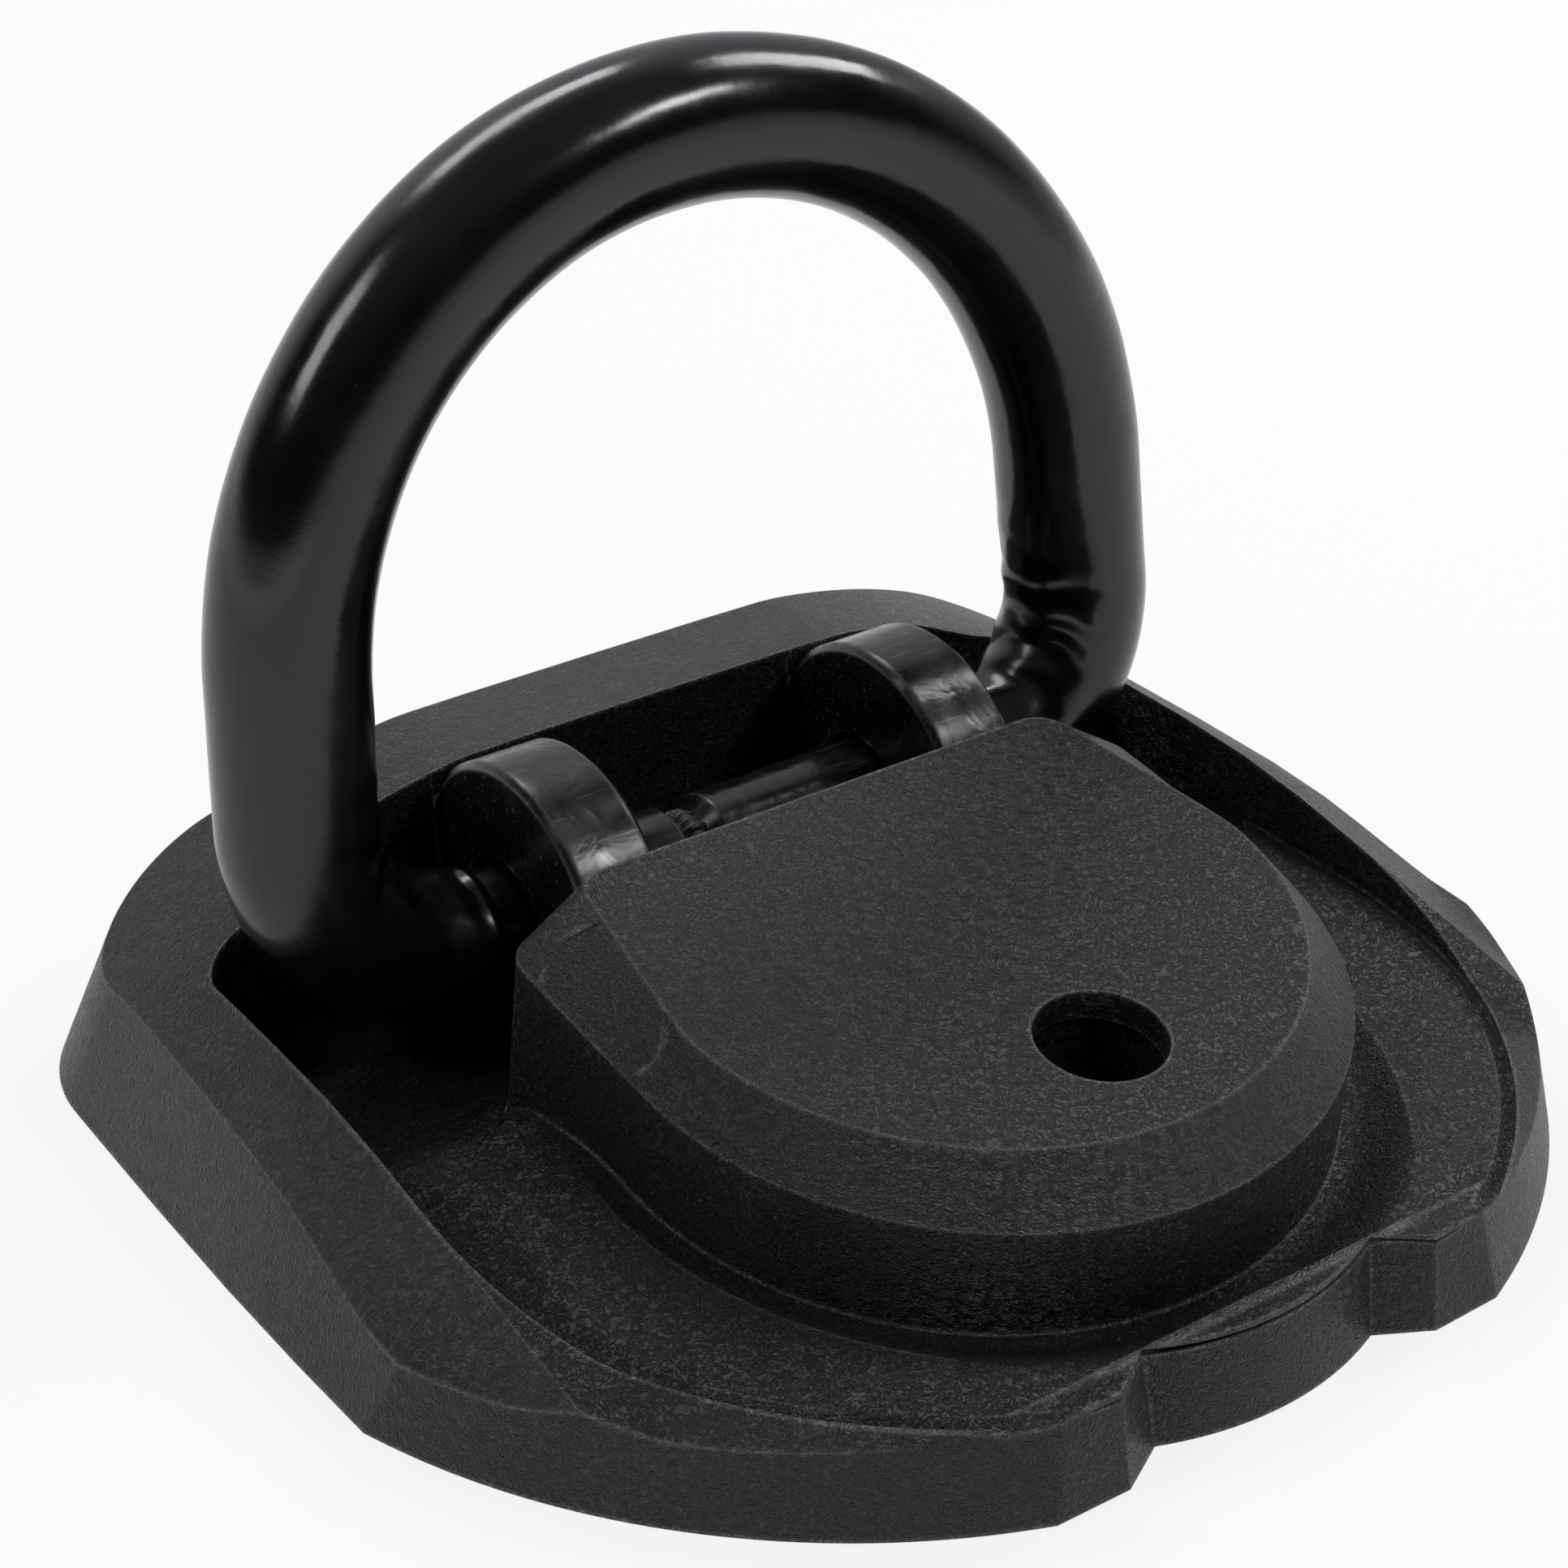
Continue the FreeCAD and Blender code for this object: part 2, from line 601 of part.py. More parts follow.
# cover: screw tube, its seat and the hole
tube_top = "boss_rise - top_wall - 8.5"
tube_y = "hole_y*cos(boss_tilt)"
tube = rod("ScrewTube", "tube_radius", "0", tube_y, "seat_rise", tube_top + " + 3")
tube_limit = tilt(sweep_along("TubeLimit", profile("TubeLimitOutline", "XY", [
    ("-30", "-110"),
    ("30", "-110"),
    ("30", "-40"),
    ("-30", "-40"),
], "-60"), ("0", "0", "1"), "60 - top_wall + 0.5"))
tube_solid = common("ScrewTubeSolid", [tube, tube_limit])
tube_space = rod("ScrewTubeSpace", "tube_bore", "0", tube_y, "seat_rise + seat_wall",
                 tube_top + " + 4")
tube_space_limit = tilt(sweep_along("TubeSpaceLimit", profile("TubeSpaceOutline", "XY", [
    ("-30", "-110"),
    ("30", "-110"),
    ("30", "-40"),
    ("-30", "-40"),
], "-60"), ("0", "0", "1"), "60 - top_wall"))
tube_void = common("ScrewTubeVoid", [tube_space, tube_space_limit])
seat_hole = rod("SeatHole", "screw_radius + 0.6", "0", tube_y, "seat_rise - 5", "seat_rise + 10")
top_hole = add("Part::Cylinder", "TopHole")
bind(top_hole, "Radius", "hole_radius")
bind(top_hole, "Height", "top_wall + 5")
top_hole.Placement = FreeCAD.Placement(
    FreeCAD.Vector(0, 0, 0), FreeCAD.Rotation(FreeCAD.Vector(1, 0, 0), 1))
bind(top_hole, ".Placement.Rotation.Angle", "boss_tilt")
bind(top_hole, ".Placement.Base.y", "hole_y*cos(boss_tilt) + (top_wall + 1)*sin(boss_tilt)")
bind(top_hole, ".Placement.Base.z",
     "boss_rise + hole_y*sin(boss_tilt) - (top_wall + 1)*cos(boss_tilt)")

# cover: slots for the lugs and their weld beads
lug_front = "lug_y - lug_radius"
lug_back = "lug_y + lug_radius"
slots = []
for name, x0, x1 in (("Right", lug_in, lug_out), ("Left", "-(%s)" % lug_out, "-(%s)" % lug_in)):
    slots.append(box(name + "BeadSlot", x0 + " - bead - 1", x1 + " + bead + 1",
                     lug_front + " - bead - 1", lug_back + " + bead + 1", "-1",
                     "plate_gauge + bead + 0.8"))
    slots.append(box(name + "LugSlot", x0 + " - 1", x1 + " + 1", lug_front + " - 0.9",
                     lug_back + " + 0.9", "-1", "lug_centre_rise"))
    slots.append(cross_rod(name + "LugArcSlot", "lug_radius + 0.9", x0 + " - 1", x1 + " + 1",
                           "lug_y", "lug_centre_rise"))

hollowed = fuse("CoverHollowed", [cut("CoverShell", outer, hollows), tube_solid])
openings = fuse("CoverOpenings", [tube_void, seat_hole, top_hole] + slots)
cover = cut("cover", hollowed, openings)

# base plate with its four bolt holes and the tapped hole for the cover screw
plate_sketch = profile("PlateOutline", "XY", [
    ("plate_x - plate_cut", "plate_front_y"),
    ("plate_x", "plate_front_y + plate_cut"),
    ("plate_x", "plate_back_y - plate_back_cut"),
    ("plate_x - plate_back_cut", "plate_back_y"),
    ("-(plate_x - plate_back_cut)", "plate_back_y"),
    ("-plate_x", "plate_back_y - plate_back_cut"),
    ("-plate_x", "plate_front_y + plate_cut"),
    ("-(plate_x - plate_cut)", "plate_front_y"),
])
plate_blank = sweep_along("PlateBlank", plate_sketch, ("0", "0", "1"), "plate_gauge")
plate_holes = [rod("TappedHole", "screw_radius", "0", tube_y, "-1", "plate_gauge + 1")]
for name, x, y in (("BoltHoleA", "bolt_x", "bolt_back_y"), ("BoltHoleB", "-bolt_x", "bolt_back_y"),
                   ("BoltHoleC", "bolt_x", "bolt_front_y"),
                   ("BoltHoleD", "-bolt_x", "bolt_front_y")):
    plate_holes.append(rod(name, "bolt_radius", x, y, "-1", "plate_gauge + 1"))
base_plate = cut("base_plate", plate_blank, fuse("PlateHoles", plate_holes))


# lugs and their weld beads
def lug(name, x0, x1):
    tall = box(name + "Foot", x0, x1, lug_front, lug_back, "plate_gauge", "lug_centre_rise")
    crown = cross_rod(name + "Crown", "lug_radius", x0, x1, "lug_y", "lug_centre_rise")
    below = box(name + "Below", x0 + " - 1", x1 + " + 1", lug_front + " - 1",
                lug_back + " + 1", "-20", "plate_gauge")
    blank = cut(name + "Blank", fuse(name + "Solid", [tall, crown]), below)
    edges = common(name + "Edges", [blank, fuse(name + "EdgeTool", [
        cross_cone(name + "EdgeA", "lug_radius - lug_edge", "lug_radius", x0,
                   "(%s) + lug_edge" % x0, "lug_y", "lug_centre_rise"),
        cross_rod(name + "EdgeB", "lug_radius", "(%s) + lug_edge" % x0,
                  "(%s) - lug_edge" % x1, "lug_y", "lug_centre_rise"),
        cross_cone(name + "EdgeC", "lug_radius", "lug_radius - lug_edge",
                   "(%s) - lug_edge" % x1, x1, "lug_y", "lug_centre_rise"),
        box(name + "EdgeD", x0, x1, lug_front, lug_back, "plate_gauge", "lug_centre_rise"),
    ])])
    bore = fuse(name + "Bore", [
        cross_rod(name + "BoreRod", "bar_radius + pivot_play", x0 + " - 1", x1 + " + 1",
                  "pivot_y", "pivot_rise"),
        cross_cone(name + "BoreEdgeA", "bar_radius + pivot_play + bore_edge",
                   "bar_radius + pivot_play", x0, "(%s) + bore_edge" % x0,
                   "pivot_y", "pivot_rise"),
        cross_cone(name + "BoreEdgeB", "bar_radius + pivot_play",
                   "bar_radius + pivot_play + bore_edge", "(%s) - bore_edge" % x1, x1,
                   "pivot_y", "pivot_rise"),
    ])
    return cut(name, edges, bore)


def bead_ring(name, x0, x1):
    foot = [
        (x0 + " - bead", lug_front + " - bead"),
        (x1 + " + bead", lug_front + " - bead"),
        (x1 + " + bead", lug_back + " + bead"),
        (x0 + " - bead", lug_back + " + bead"),
    ]
    neck = [
        (x0 + " - 0.05", lug_front + " - 0.05"),
        (x1 + " + 0.05", lug_front + " - 0.05"),
        (x1 + " + 0.05", lug_back + " + 0.05"),
        (x0 + " - 0.05", lug_back + " + 0.05"),
    ]
    mound = loft(name + "Mound", [
        profile(name + "Foot", "XY", foot, "plate_gauge"),
        profile(name + "Neck", "XY", neck, "plate_gauge + bead"),
    ])
    core = box(name + "Core", x0, x1, lug_front, lug_back, "0", "20")
    return cut(name, mound, core)


left_sides = ("-(%s)" % lug_out, "-(%s)" % lug_in)
right_lug = lug("right_lug", lug_in, lug_out)
left_lug = lug("left_lug", *left_sides)
right_bead = bead_ring("right_lug_weld", lug_in, lug_out)
left_bead = bead_ring("left_lug_weld", *left_sides)

# shackle: bar and sleeve
def path(name, left_end, right_end):
    corners = [
        (left_end, "0"),
        ("-(%s)" % bend_x, "0"),
        ("-(%s)" % leg_foot_x, leg_foot_z),
        ("-(%s)" % leg_top_x, leg_top_z),
        (leg_top_x, leg_top_z),
        (leg_foot_x, leg_foot_z),
        (bend_x, "0"),
        (right_end, "0"),
    ]
    arcs = {
        1: ("y", "bend_radius", False),
        3: ("y", "arch_rise", False),
        5: ("y", "bend_radius", False),
    }
    return profile(name, "XZ", corners, "0", arcs, closed=False)


def swept_rod(name, radius, left_end, right_end):
    spine = path(name + "Path", left_end, right_end)
    ring = add("Sketcher::SketchObject", name + "Section")
    ring.Placement = FreeCAD.Placement(FreeCAD.Vector(0, 0, 0), PLANES["YZ"])
    place(ring, x=left_end)
    ring.addGeometry(Part.Circle(FreeCAD.Vector(0, 0, 0), FreeCAD.Vector(0, 0, 1),
                                 number(radius)), False)
    ring.addConstraint(Sketcher.Constraint("Coincident", 0, 3, -1, 1))
    index = ring.addConstraint(Sketcher.Constraint("Radius", 0, number(radius)))
    ring.setExpression("Constraints[%d]" % index, cells(radius))
    doc.recompute()
    item = add("Part::Sweep", name)
    item.Sections = [ring]
    item.Spine = (spine, ["Edge%d" % (count + 1) for count in range(len(spine.Shape.Edges))])
    item.Solid = True
    item.Frenet = False
    return item


def tip_back(item):
    """Stand an item of the shackle on its axis and lean it back."""
    item.Placement = FreeCAD.Placement(
        FreeCAD.Vector(0, 0, 0), FreeCAD.Rotation(FreeCAD.Vector(-1, 0, 0), 1))
    bind(item, ".Placement.Rotation.Angle", "lean_back")
    bind(item, ".Placement.Base.y", "pivot_y")
    bind(item, ".Placement.Base.z", "pivot_rise")
    return item


left_tip = "joint_x - tip_gap/2"
right_tip = "joint_x + tip_gap/2"
bar_raw = swept_rod("BarRaw", "bar_radius", left_tip, right_tip)
tip_tools = fuse("TipTools", [
    cut("LeftTipWaste", cross_rod("LeftTipBlank", "bar_radius + 2", left_tip + " - tip_edge",
                                  left_tip, "0", "0"),
        cross_cone("LeftTipCone", "bar_radius", "bar_radius - tip_edge*0.9",
                   left_tip + " - tip_edge", left_tip, "0", "0")),
    cut("RightTipWaste", cross_rod("RightTipBlank", "bar_radius + 2", right_tip,
                                   right_tip + " + tip_edge", "0", "0"),
        cross_cone("RightTipCone", "bar_radius - tip_edge*0.9", "bar_radius", right_tip,
                   right_tip + " + tip_edge", "0", "0")),
])
shackle_bar = tip_back(cut("shackle_bar", bar_raw, tip_tools))

sleeve_outer = swept_rod("SleeveOuter", "sleeve_radius", "-(%s)" % sleeve_end_x, sleeve_end_x)
sleeve_inner = swept_rod("SleeveInner", "bar_radius + sleeve_play",
                         "-(%s) + 1" % sleeve_end_x, "(%s) - 1" % sleeve_end_x)
shackle_sleeve = tip_back(cut("shackle_sleeve", sleeve_outer, sleeve_inner))

weld_core = cross_rod("WeldCore", "bar_radius - tip_edge*0.9", left_tip, right_tip, "0", "0")
weld_ring = add("Part::Torus", "WeldRing")
bind(weld_ring, "Radius1", "bar_radius - tip_edge*0.9 - 0.2")
bind(weld_ring, "Radius2", "tip_edge*0.62")
weld_ring.Placement = FreeCAD.Placement(
    FreeCAD.Vector(0, 0, 0), FreeCAD.Rotation(FreeCAD.Vector(0, 1, 0), 90))
place(weld_ring, x="joint_x")
weld_tips = fuse("WeldTips", [
    cross_rod("WeldLeftTip", "bar_radius - tip_edge*0.9", left_tip + " - 6", left_tip, "0", "0"),
    cross_cone("WeldLeftCone", "bar_radius", "bar_radius - tip_edge*0.9",
               left_tip + " - tip_edge", left_tip, "0", "0"),
    cross_rod("WeldRightTip", "bar_radius - tip_edge*0.9", right_tip, right_tip + " + 6", "0", "0"),
    cross_cone("WeldRightCone", "bar_radius - tip_edge*0.9", "bar_radius", right_tip,
               right_tip + " + tip_edge", "0", "0"),
])
shackle_weld = tip_back(cut("shackle_weld", fuse("WeldSolid", [weld_core, weld_ring]), weld_tips))

# cover screw and washer
seat_top = "seat_rise + seat_wall"
washer_top = "seat_rise + seat_wall + washer_gauge"
cover_washer = cut("cover_washer",
                   rod("WasherDisc", "washer_radius", "0", tube_y, seat_top, washer_top),
                   rod("WasherBore", "screw_radius + 0.3", "0", tube_y, "0", "30"))
screw_head = rod("ScrewHead", "head_radius", "0", tube_y, washer_top, washer_top + " + head_rise")
screw_dome = add("Part::Sphere", "ScrewDome")
bind(screw_dome, "Radius", "head_radius*1.28")
place(screw_dome, "0", tube_y, washer_top + " + head_rise - head_radius*1.28")
screw_blank = fuse("ScrewBlank", [
    common("ScrewCrown", [screw_head, screw_dome]),
    rod("ScrewShank", "screw_radius - 0.1", "0", tube_y, "0.5", washer_top + " + 0.5"),
])
socket = add("Part::Prism", "Socket")
socket.Polygon = 6
bind(socket, "Circumradius", "socket_across/1.732")
bind(socket, "Height", "5")
place(socket, "0", tube_y, washer_top + " + head_rise - 2.6")
cover_screw = cut("cover_screw", screw_blank, socket)

doc.recompute()

NODES = [
    cover, base_plate, right_lug, left_lug, right_bead, left_bead,
    shackle_bar, shackle_sleeve, shackle_weld, cover_screw, cover_washer,
]
problems = []
for item in doc.Objects:
    if "Invalid" in item.State or "Error" in item.State:
        problems.append("%s %s" % (item.Name, item.State))
for item in NODES:
    shape = item.Shape
    if shape.isNull() or not shape.isValid() or not shape.Solids:
        problems.append("%s shape" % item.Label)
if problems:
    raise RuntimeError("failed: " + ", ".join(problems))

for item in NODES:
    shape = item.Shape
    limits = shape.BoundBox
    print("%-16s solids %d faces %3d volume %9.1f  x %.1f..%.1f y %.1f..%.1f z %.1f..%.1f" % (
        item.Label, len(shape.Solids), len(shape.Faces), shape.Volume,
        limits.XMin, limits.XMax, limits.YMin, limits.YMax, limits.ZMin, limits.ZMax))
    shape.exportStep("parts/%s.step" % item.Label)
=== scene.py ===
# %% [markdown]
# # Ground anchor
# A ground anchor is bolted to concrete and holds a security chain. It has a moulded plastic cover, two steel
# ears welded to a plate, and a bent bar in a plastic sleeve that swings between the ears. The solids come
# from the construction model, and this lesson dresses them: it finishes each surface, makes the rounded,
# soft and rough pieces that plain solids can't show, and sets up a small studio.

# %% Load the frame
import math

import bmesh
import bpy
from mathutils import Matrix, Vector


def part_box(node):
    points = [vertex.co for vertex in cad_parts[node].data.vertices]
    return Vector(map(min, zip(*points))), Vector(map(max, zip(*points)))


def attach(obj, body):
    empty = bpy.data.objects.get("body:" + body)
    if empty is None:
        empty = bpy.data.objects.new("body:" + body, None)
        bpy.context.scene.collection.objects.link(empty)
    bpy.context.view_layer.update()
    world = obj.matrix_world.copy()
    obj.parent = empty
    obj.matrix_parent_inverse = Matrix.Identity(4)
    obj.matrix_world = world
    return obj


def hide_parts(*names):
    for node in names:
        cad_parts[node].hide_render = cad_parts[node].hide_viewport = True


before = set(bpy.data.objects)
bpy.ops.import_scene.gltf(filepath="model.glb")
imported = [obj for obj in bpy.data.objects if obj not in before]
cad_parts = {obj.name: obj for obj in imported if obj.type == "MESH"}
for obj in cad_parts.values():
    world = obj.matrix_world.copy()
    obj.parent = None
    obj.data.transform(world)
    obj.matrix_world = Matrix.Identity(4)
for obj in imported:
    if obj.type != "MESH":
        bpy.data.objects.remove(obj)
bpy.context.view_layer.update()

print("nodes:", sorted(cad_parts))

# %% [markdown]
# ## Where the camera stood
# The camera was worked out from the photograph: it looks down by 29 degrees from the front left, with a
# long lens, so that parallel edges hardly converge. A camera can be placed with an empty that it tracks,
# but three unit vectors written into its matrix say exactly where its axes point.

# %% Camera
AROUND = math.radians(35.52)
DOWN = math.radians(29.23)
ROLL = math.radians(-0.19)
STAND = Vector((-0.2095, -0.3081, 0.2375))
SENSOR_WIDTH = 36.0
PICTURE_PIXELS = 1932.0
FOCAL_PIXELS = 4036.9

forward = Vector((math.sin(AROUND) * math.cos(DOWN), math.cos(AROUND) * math.cos(DOWN), -math.sin(DOWN)))
level = Vector((math.cos(AROUND), -math.sin(AROUND), 0.0))
upward = level.cross(forward)
right = level * math.cos(ROLL) + upward * math.sin(ROLL)
up = upward * math.cos(ROLL) - level * math.sin(ROLL)

camera_data = bpy.data.cameras.new("studio_camera")
camera_data.sensor_width = SENSOR_WIDTH
camera_data.sensor_fit = "HORIZONTAL"
camera_data.lens = SENSOR_WIDTH * FOCAL_PIXELS / PICTURE_PIXELS
camera_data.clip_start = 0.01
camera_data.clip_end = 20.0
camera = bpy.data.objects.new("studio_camera", camera_data)
turn = Matrix((right, up, -forward)).transposed()
camera.matrix_world = Matrix.Translation(STAND) @ turn.to_4x4()
bpy.context.scene.collection.objects.link(camera)
bpy.context.scene.camera = camera
print("camera stands at", tuple(round(v, 3) for v in STAND), "lens", round(camera_data.lens, 1))

# %% [markdown]
# ## Helpers for shader nodes
# A material is a small graph. Two helpers keep the cells short: one adds a node and sets its sockets, the
# other joins two sockets. Blender 4.5 makes the sockets of a group through its interface.

# %% Node helpers
def add_node(tree, kind, **values):
    """Add a node; a keyword is a property of the node, or one of its input sockets with _ for a space."""
    node = tree.nodes.new(kind)
    for name, value in values.items():
        if hasattr(node, name):
            setattr(node, name, value)
        else:
            node.inputs[name.replace("_", " ")].default_value = value
    return node


def join(tree, source, target):
    tree.links.new(source, target)


def group_tree(name, inputs, outputs):
    """A shader group with named sockets; inputs map a name to its kind and plain value."""
    tree = bpy.data.node_groups.new(name, "ShaderNodeTree")
    for label, (kind, value) in inputs.items():
        socket = tree.interface.new_socket(label, in_out="INPUT", socket_type=kind)
        if value is not None:
            socket.default_value = value
    for label, kind in outputs.items():
        tree.interface.new_socket(label, in_out="OUTPUT", socket_type=kind)
    return tree, tree.nodes.new("NodeGroupInput"), tree.nodes.new("NodeGroupOutput")


def use_group(tree, group, **values):
    node = tree.nodes.new("ShaderNodeGroup")
    node.node_tree = group
    for name, value in values.items():
        node.inputs[name.replace("_", " ")].default_value = value
    return node


FLOAT = "NodeSocketFloat"

# %% [markdown]
# ## Moulded grain
# The cover comes out of a mould whose steel was etched, which leaves a fine leather-like grain of ridges
# and pits under a millimetre wide. It could be a picture laid over the surface, but noise in object
# coordinates needs no unwrapping and runs evenly over every wall. Two noises are used: a warped one for the
# ridges and a finer one for the roughness between them.

# %% Grain group
def make_grain_group():
    tree, source, sink = group_tree(
        "MouldedGrain",
        {"Ridge Scale": (FLOAT, 900.0), "Fine Scale": (FLOAT, 3200.0), "Fine Share": (FLOAT, 0.3)},
        {"Height": FLOAT, "Patches": FLOAT})
    place = add_node(tree, "ShaderNodeTexCoord")
    ridges = add_node(tree, "ShaderNodeTexNoise", Detail=3.0, Roughness=0.55, Distortion=1.6)
    fine = add_node(tree, "ShaderNodeTexNoise", Detail=2.0, Roughness=0.6)
    broad = add_node(tree, "ShaderNodeTexNoise", Scale=26.0, Detail=3.0)
    for node in (ridges, fine, broad):
        join(tree, place.outputs["Object"], node.inputs["Vector"])
    join(tree, source.outputs["Ridge Scale"], ridges.inputs["Scale"])
    join(tree, source.outputs["Fine Scale"], fine.inputs["Scale"])
    # the middle value of a noise runs in winding lines: near them stand the ridges
    off_line = add_node(tree, "ShaderNodeMath", operation="SUBTRACT")
    join(tree, ridges.outputs["Fac"], off_line.inputs[0])
    off_line.inputs[1].default_value = 0.5
    away = add_node(tree, "ShaderNodeMath", operation="ABSOLUTE")
    join(tree, off_line.outputs["Value"], away.inputs[0])
    bend = add_node(tree, "ShaderNodeMapRange", interpolation_type="SMOOTHSTEP")
    bend.inputs["From Min"].default_value = 0.0
    bend.inputs["From Max"].default_value = 0.11
    bend.inputs["To Min"].default_value = 1.0
    bend.inputs["To Max"].default_value = 0.0
    join(tree, away.outputs["Value"], bend.inputs["Value"])
    mix = add_node(tree, "ShaderNodeMix", data_type="FLOAT")
    join(tree, source.outputs["Fine Share"], mix.inputs["Factor"])
    join(tree, bend.outputs["Result"], mix.inputs["A"])
    join(tree, fine.outputs["Fac"], mix.inputs["B"])
    join(tree, mix.outputs["Result"], sink.inputs["Height"])
    join(tree, broad.outputs["Fac"], sink.inputs["Patches"])
    return tree


moulded_grain = make_grain_group()
print("group:", moulded_grain.name)

# %% [markdown]
# ## Rubbed and highlit edges
# Hands, chains and boots polish the edges first. Cycles can round an edge in the shading alone: its Bevel
# node gives the normal that a rounded edge would have. Where that normal leaves the true one, there is an
# edge, and the difference makes a mask for bare steel, and for lighter plastic on the cover, which is partly
# rubbed plastic and partly a painted highlight line along its edges. Mild bends are left out of it.

# %% Edge group
MILD_BEND = 0.012


def make_edge_group():
    tree, source, sink = group_tree(
        "RubbedAndHighlitEdges",
        {"Radius": (FLOAT, 0.0008), "Reach": (FLOAT, 0.12), "Breakup Scale": (FLOAT, 260.0)},
        {"Normal": "NodeSocketVector", "Edge": FLOAT})
    rounded = add_node(tree, "ShaderNodeBevel", samples=6)
    join(tree, source.outputs["Radius"], rounded.inputs["Radius"])
    true_normal = add_node(tree, "ShaderNodeNewGeometry")
    same = add_node(tree, "ShaderNodeVectorMath", operation="DOT_PRODUCT")
    join(tree, rounded.outputs["Normal"], same.inputs[0])
    join(tree, true_normal.outputs["Normal"], same.inputs[1])
    away = add_node(tree, "ShaderNodeMath", operation="SUBTRACT")
    away.inputs[0].default_value = 1.0
    join(tree, same.outputs["Value"], away.inputs[1])
    clear = add_node(tree, "ShaderNodeMath", operation="SUBTRACT")
    join(tree, away.outputs["Value"], clear.inputs[0])
    clear.inputs[1].default_value = MILD_BEND
    spread = add_node(tree, "ShaderNodeMath", operation="DIVIDE", use_clamp=True)
    join(tree, clear.outputs["Value"], spread.inputs[0])
    join(tree, source.outputs["Reach"], spread.inputs[1])
    place = add_node(tree, "ShaderNodeTexCoord")
    patches = add_node(tree, "ShaderNodeTexNoise", Detail=4.0, Roughness=0.65)
    join(tree, place.outputs["Object"], patches.inputs["Vector"])
    join(tree, source.outputs["Breakup Scale"], patches.inputs["Scale"])
    broken = add_node(tree, "ShaderNodeMath", operation="MULTIPLY", use_clamp=True)
    join(tree, spread.outputs["Value"], broken.inputs[0])
    join(tree, patches.outputs["Fac"], broken.inputs[1])
    join(tree, rounded.outputs["Normal"], sink.inputs["Normal"])
    join(tree, broken.outputs["Value"], sink.inputs["Edge"])
    return tree


rubbed_and_highlit_edges = make_edge_group()
print("group:", rubbed_and_highlit_edges.name)

# %% [markdown]
# ## Start of every material
# Each finish starts from one Principled shader, with the numbers that don't vary set on its own sockets.

# %% Material starter
def new_material(name, rough, specular=0.5, metallic=0.0, coat=0.0, coat_rough=0.1):
    material = bpy.data.materials.new(name)
    material.use_nodes = True
    tree = material.node_tree
    shader = tree.nodes["Principled BSDF"]
    shader.inputs["Roughness"].default_value = rough
    shader.inputs["Specular IOR Level"].default_value = specular
    shader.inputs["Metallic"].default_value = metallic
    shader.inputs["Coat Weight"].default_value = coat
    shader.inputs["Coat Roughness"].default_value = coat_rough
    return material, tree, shader


def blend_colours(tree, factor, first, second):
    mix = add_node(tree, "ShaderNodeMix", data_type="RGBA")
    mix.inputs[6].default_value = (*first, 1.0)
    mix.inputs[7].default_value = (*second, 1.0)
    join(tree, factor, mix.inputs["Factor"])
    return mix.outputs[2]


def spread_value(tree, value, low, high, out_low, out_high):
    spread = add_node(tree, "ShaderNodeMapRange")
    spread.inputs["From Min"].default_value = low
    spread.inputs["From Max"].default_value = high
    spread.inputs["To Min"].default_value = out_low
    spread.inputs["To Max"].default_value = out_high
    join(tree, value, spread.inputs["Value"])
    return spread.outputs["Result"]


# %% [markdown]
# ## Cover plastic
# Black polypropylene with the etched grain. The grain is deeper on the bevel and the walls than on the flat
# top, because steep walls of a mould are etched in a second pass, so the surface's own normal steers it.
# Its edges are painted a lighter grey: partly rubbed plastic, partly a painted highlight line.

# %% Cover material
def make_cover_plastic():
    material, tree, shader = new_material("cover_plastic", 0.5, specular=0.5)
    grain = use_group(tree, moulded_grain, Ridge_Scale=700.0, Fine_Scale=2600.0, Fine_Share=0.30)
    edges = use_group(tree, rubbed_and_highlit_edges, Radius=0.0009, Reach=0.040, Breakup_Scale=520.0)
    facing = add_node(tree, "ShaderNodeNewGeometry")
    parts = add_node(tree, "ShaderNodeSeparateXYZ")
    join(tree, facing.outputs["Normal"], parts.inputs["Vector"])
    steep = spread_value(tree, parts.outputs["Z"], 0.955, 0.988, 1.0, 0.36)
    depth = add_node(tree, "ShaderNodeMath", operation="MULTIPLY")
    join(tree, grain.outputs["Height"], depth.inputs[0])
    join(tree, steep, depth.inputs[1])
    bump = add_node(tree, "ShaderNodeBump", Strength=1.0, Distance=0.0010)
    join(tree, depth.outputs["Value"], bump.inputs["Height"])
    join(tree, edges.outputs["Normal"], bump.inputs["Normal"])
    join(tree, bump.outputs["Normal"], shader.inputs["Normal"])
    plain = blend_colours(tree, grain.outputs["Patches"], (0.0085, 0.0087, 0.0095), (0.0125, 0.0127, 0.0138))
    # lighter grey on the edges: partly rubbed plastic, partly a painted highlight line along the rounded
    # edges
    lightened = add_node(tree, "ShaderNodeMix", data_type="RGBA")
    join(tree, edges.outputs["Edge"], lightened.inputs["Factor"])
    join(tree, plain, lightened.inputs[6])
    lightened.inputs[7].default_value = (0.27, 0.273, 0.283, 1.0)
    join(tree, lightened.outputs[2], shader.inputs["Base Color"])
    join(tree, spread_value(tree, grain.outputs["Height"], 0.1, 0.9, 0.44, 0.30), shader.inputs["Roughness"])
    return material


cover_plastic = make_cover_plastic()

# %% [markdown]
# ## Painted steel
# The ears and the bar are dipped in black paint. It is glossy, it has small runs and specks, and it has
# rubbed thin on the edges, where grey steel shows. Scratches are long thin cells: noise that is stretched
# along one direction and cut to its highest values.

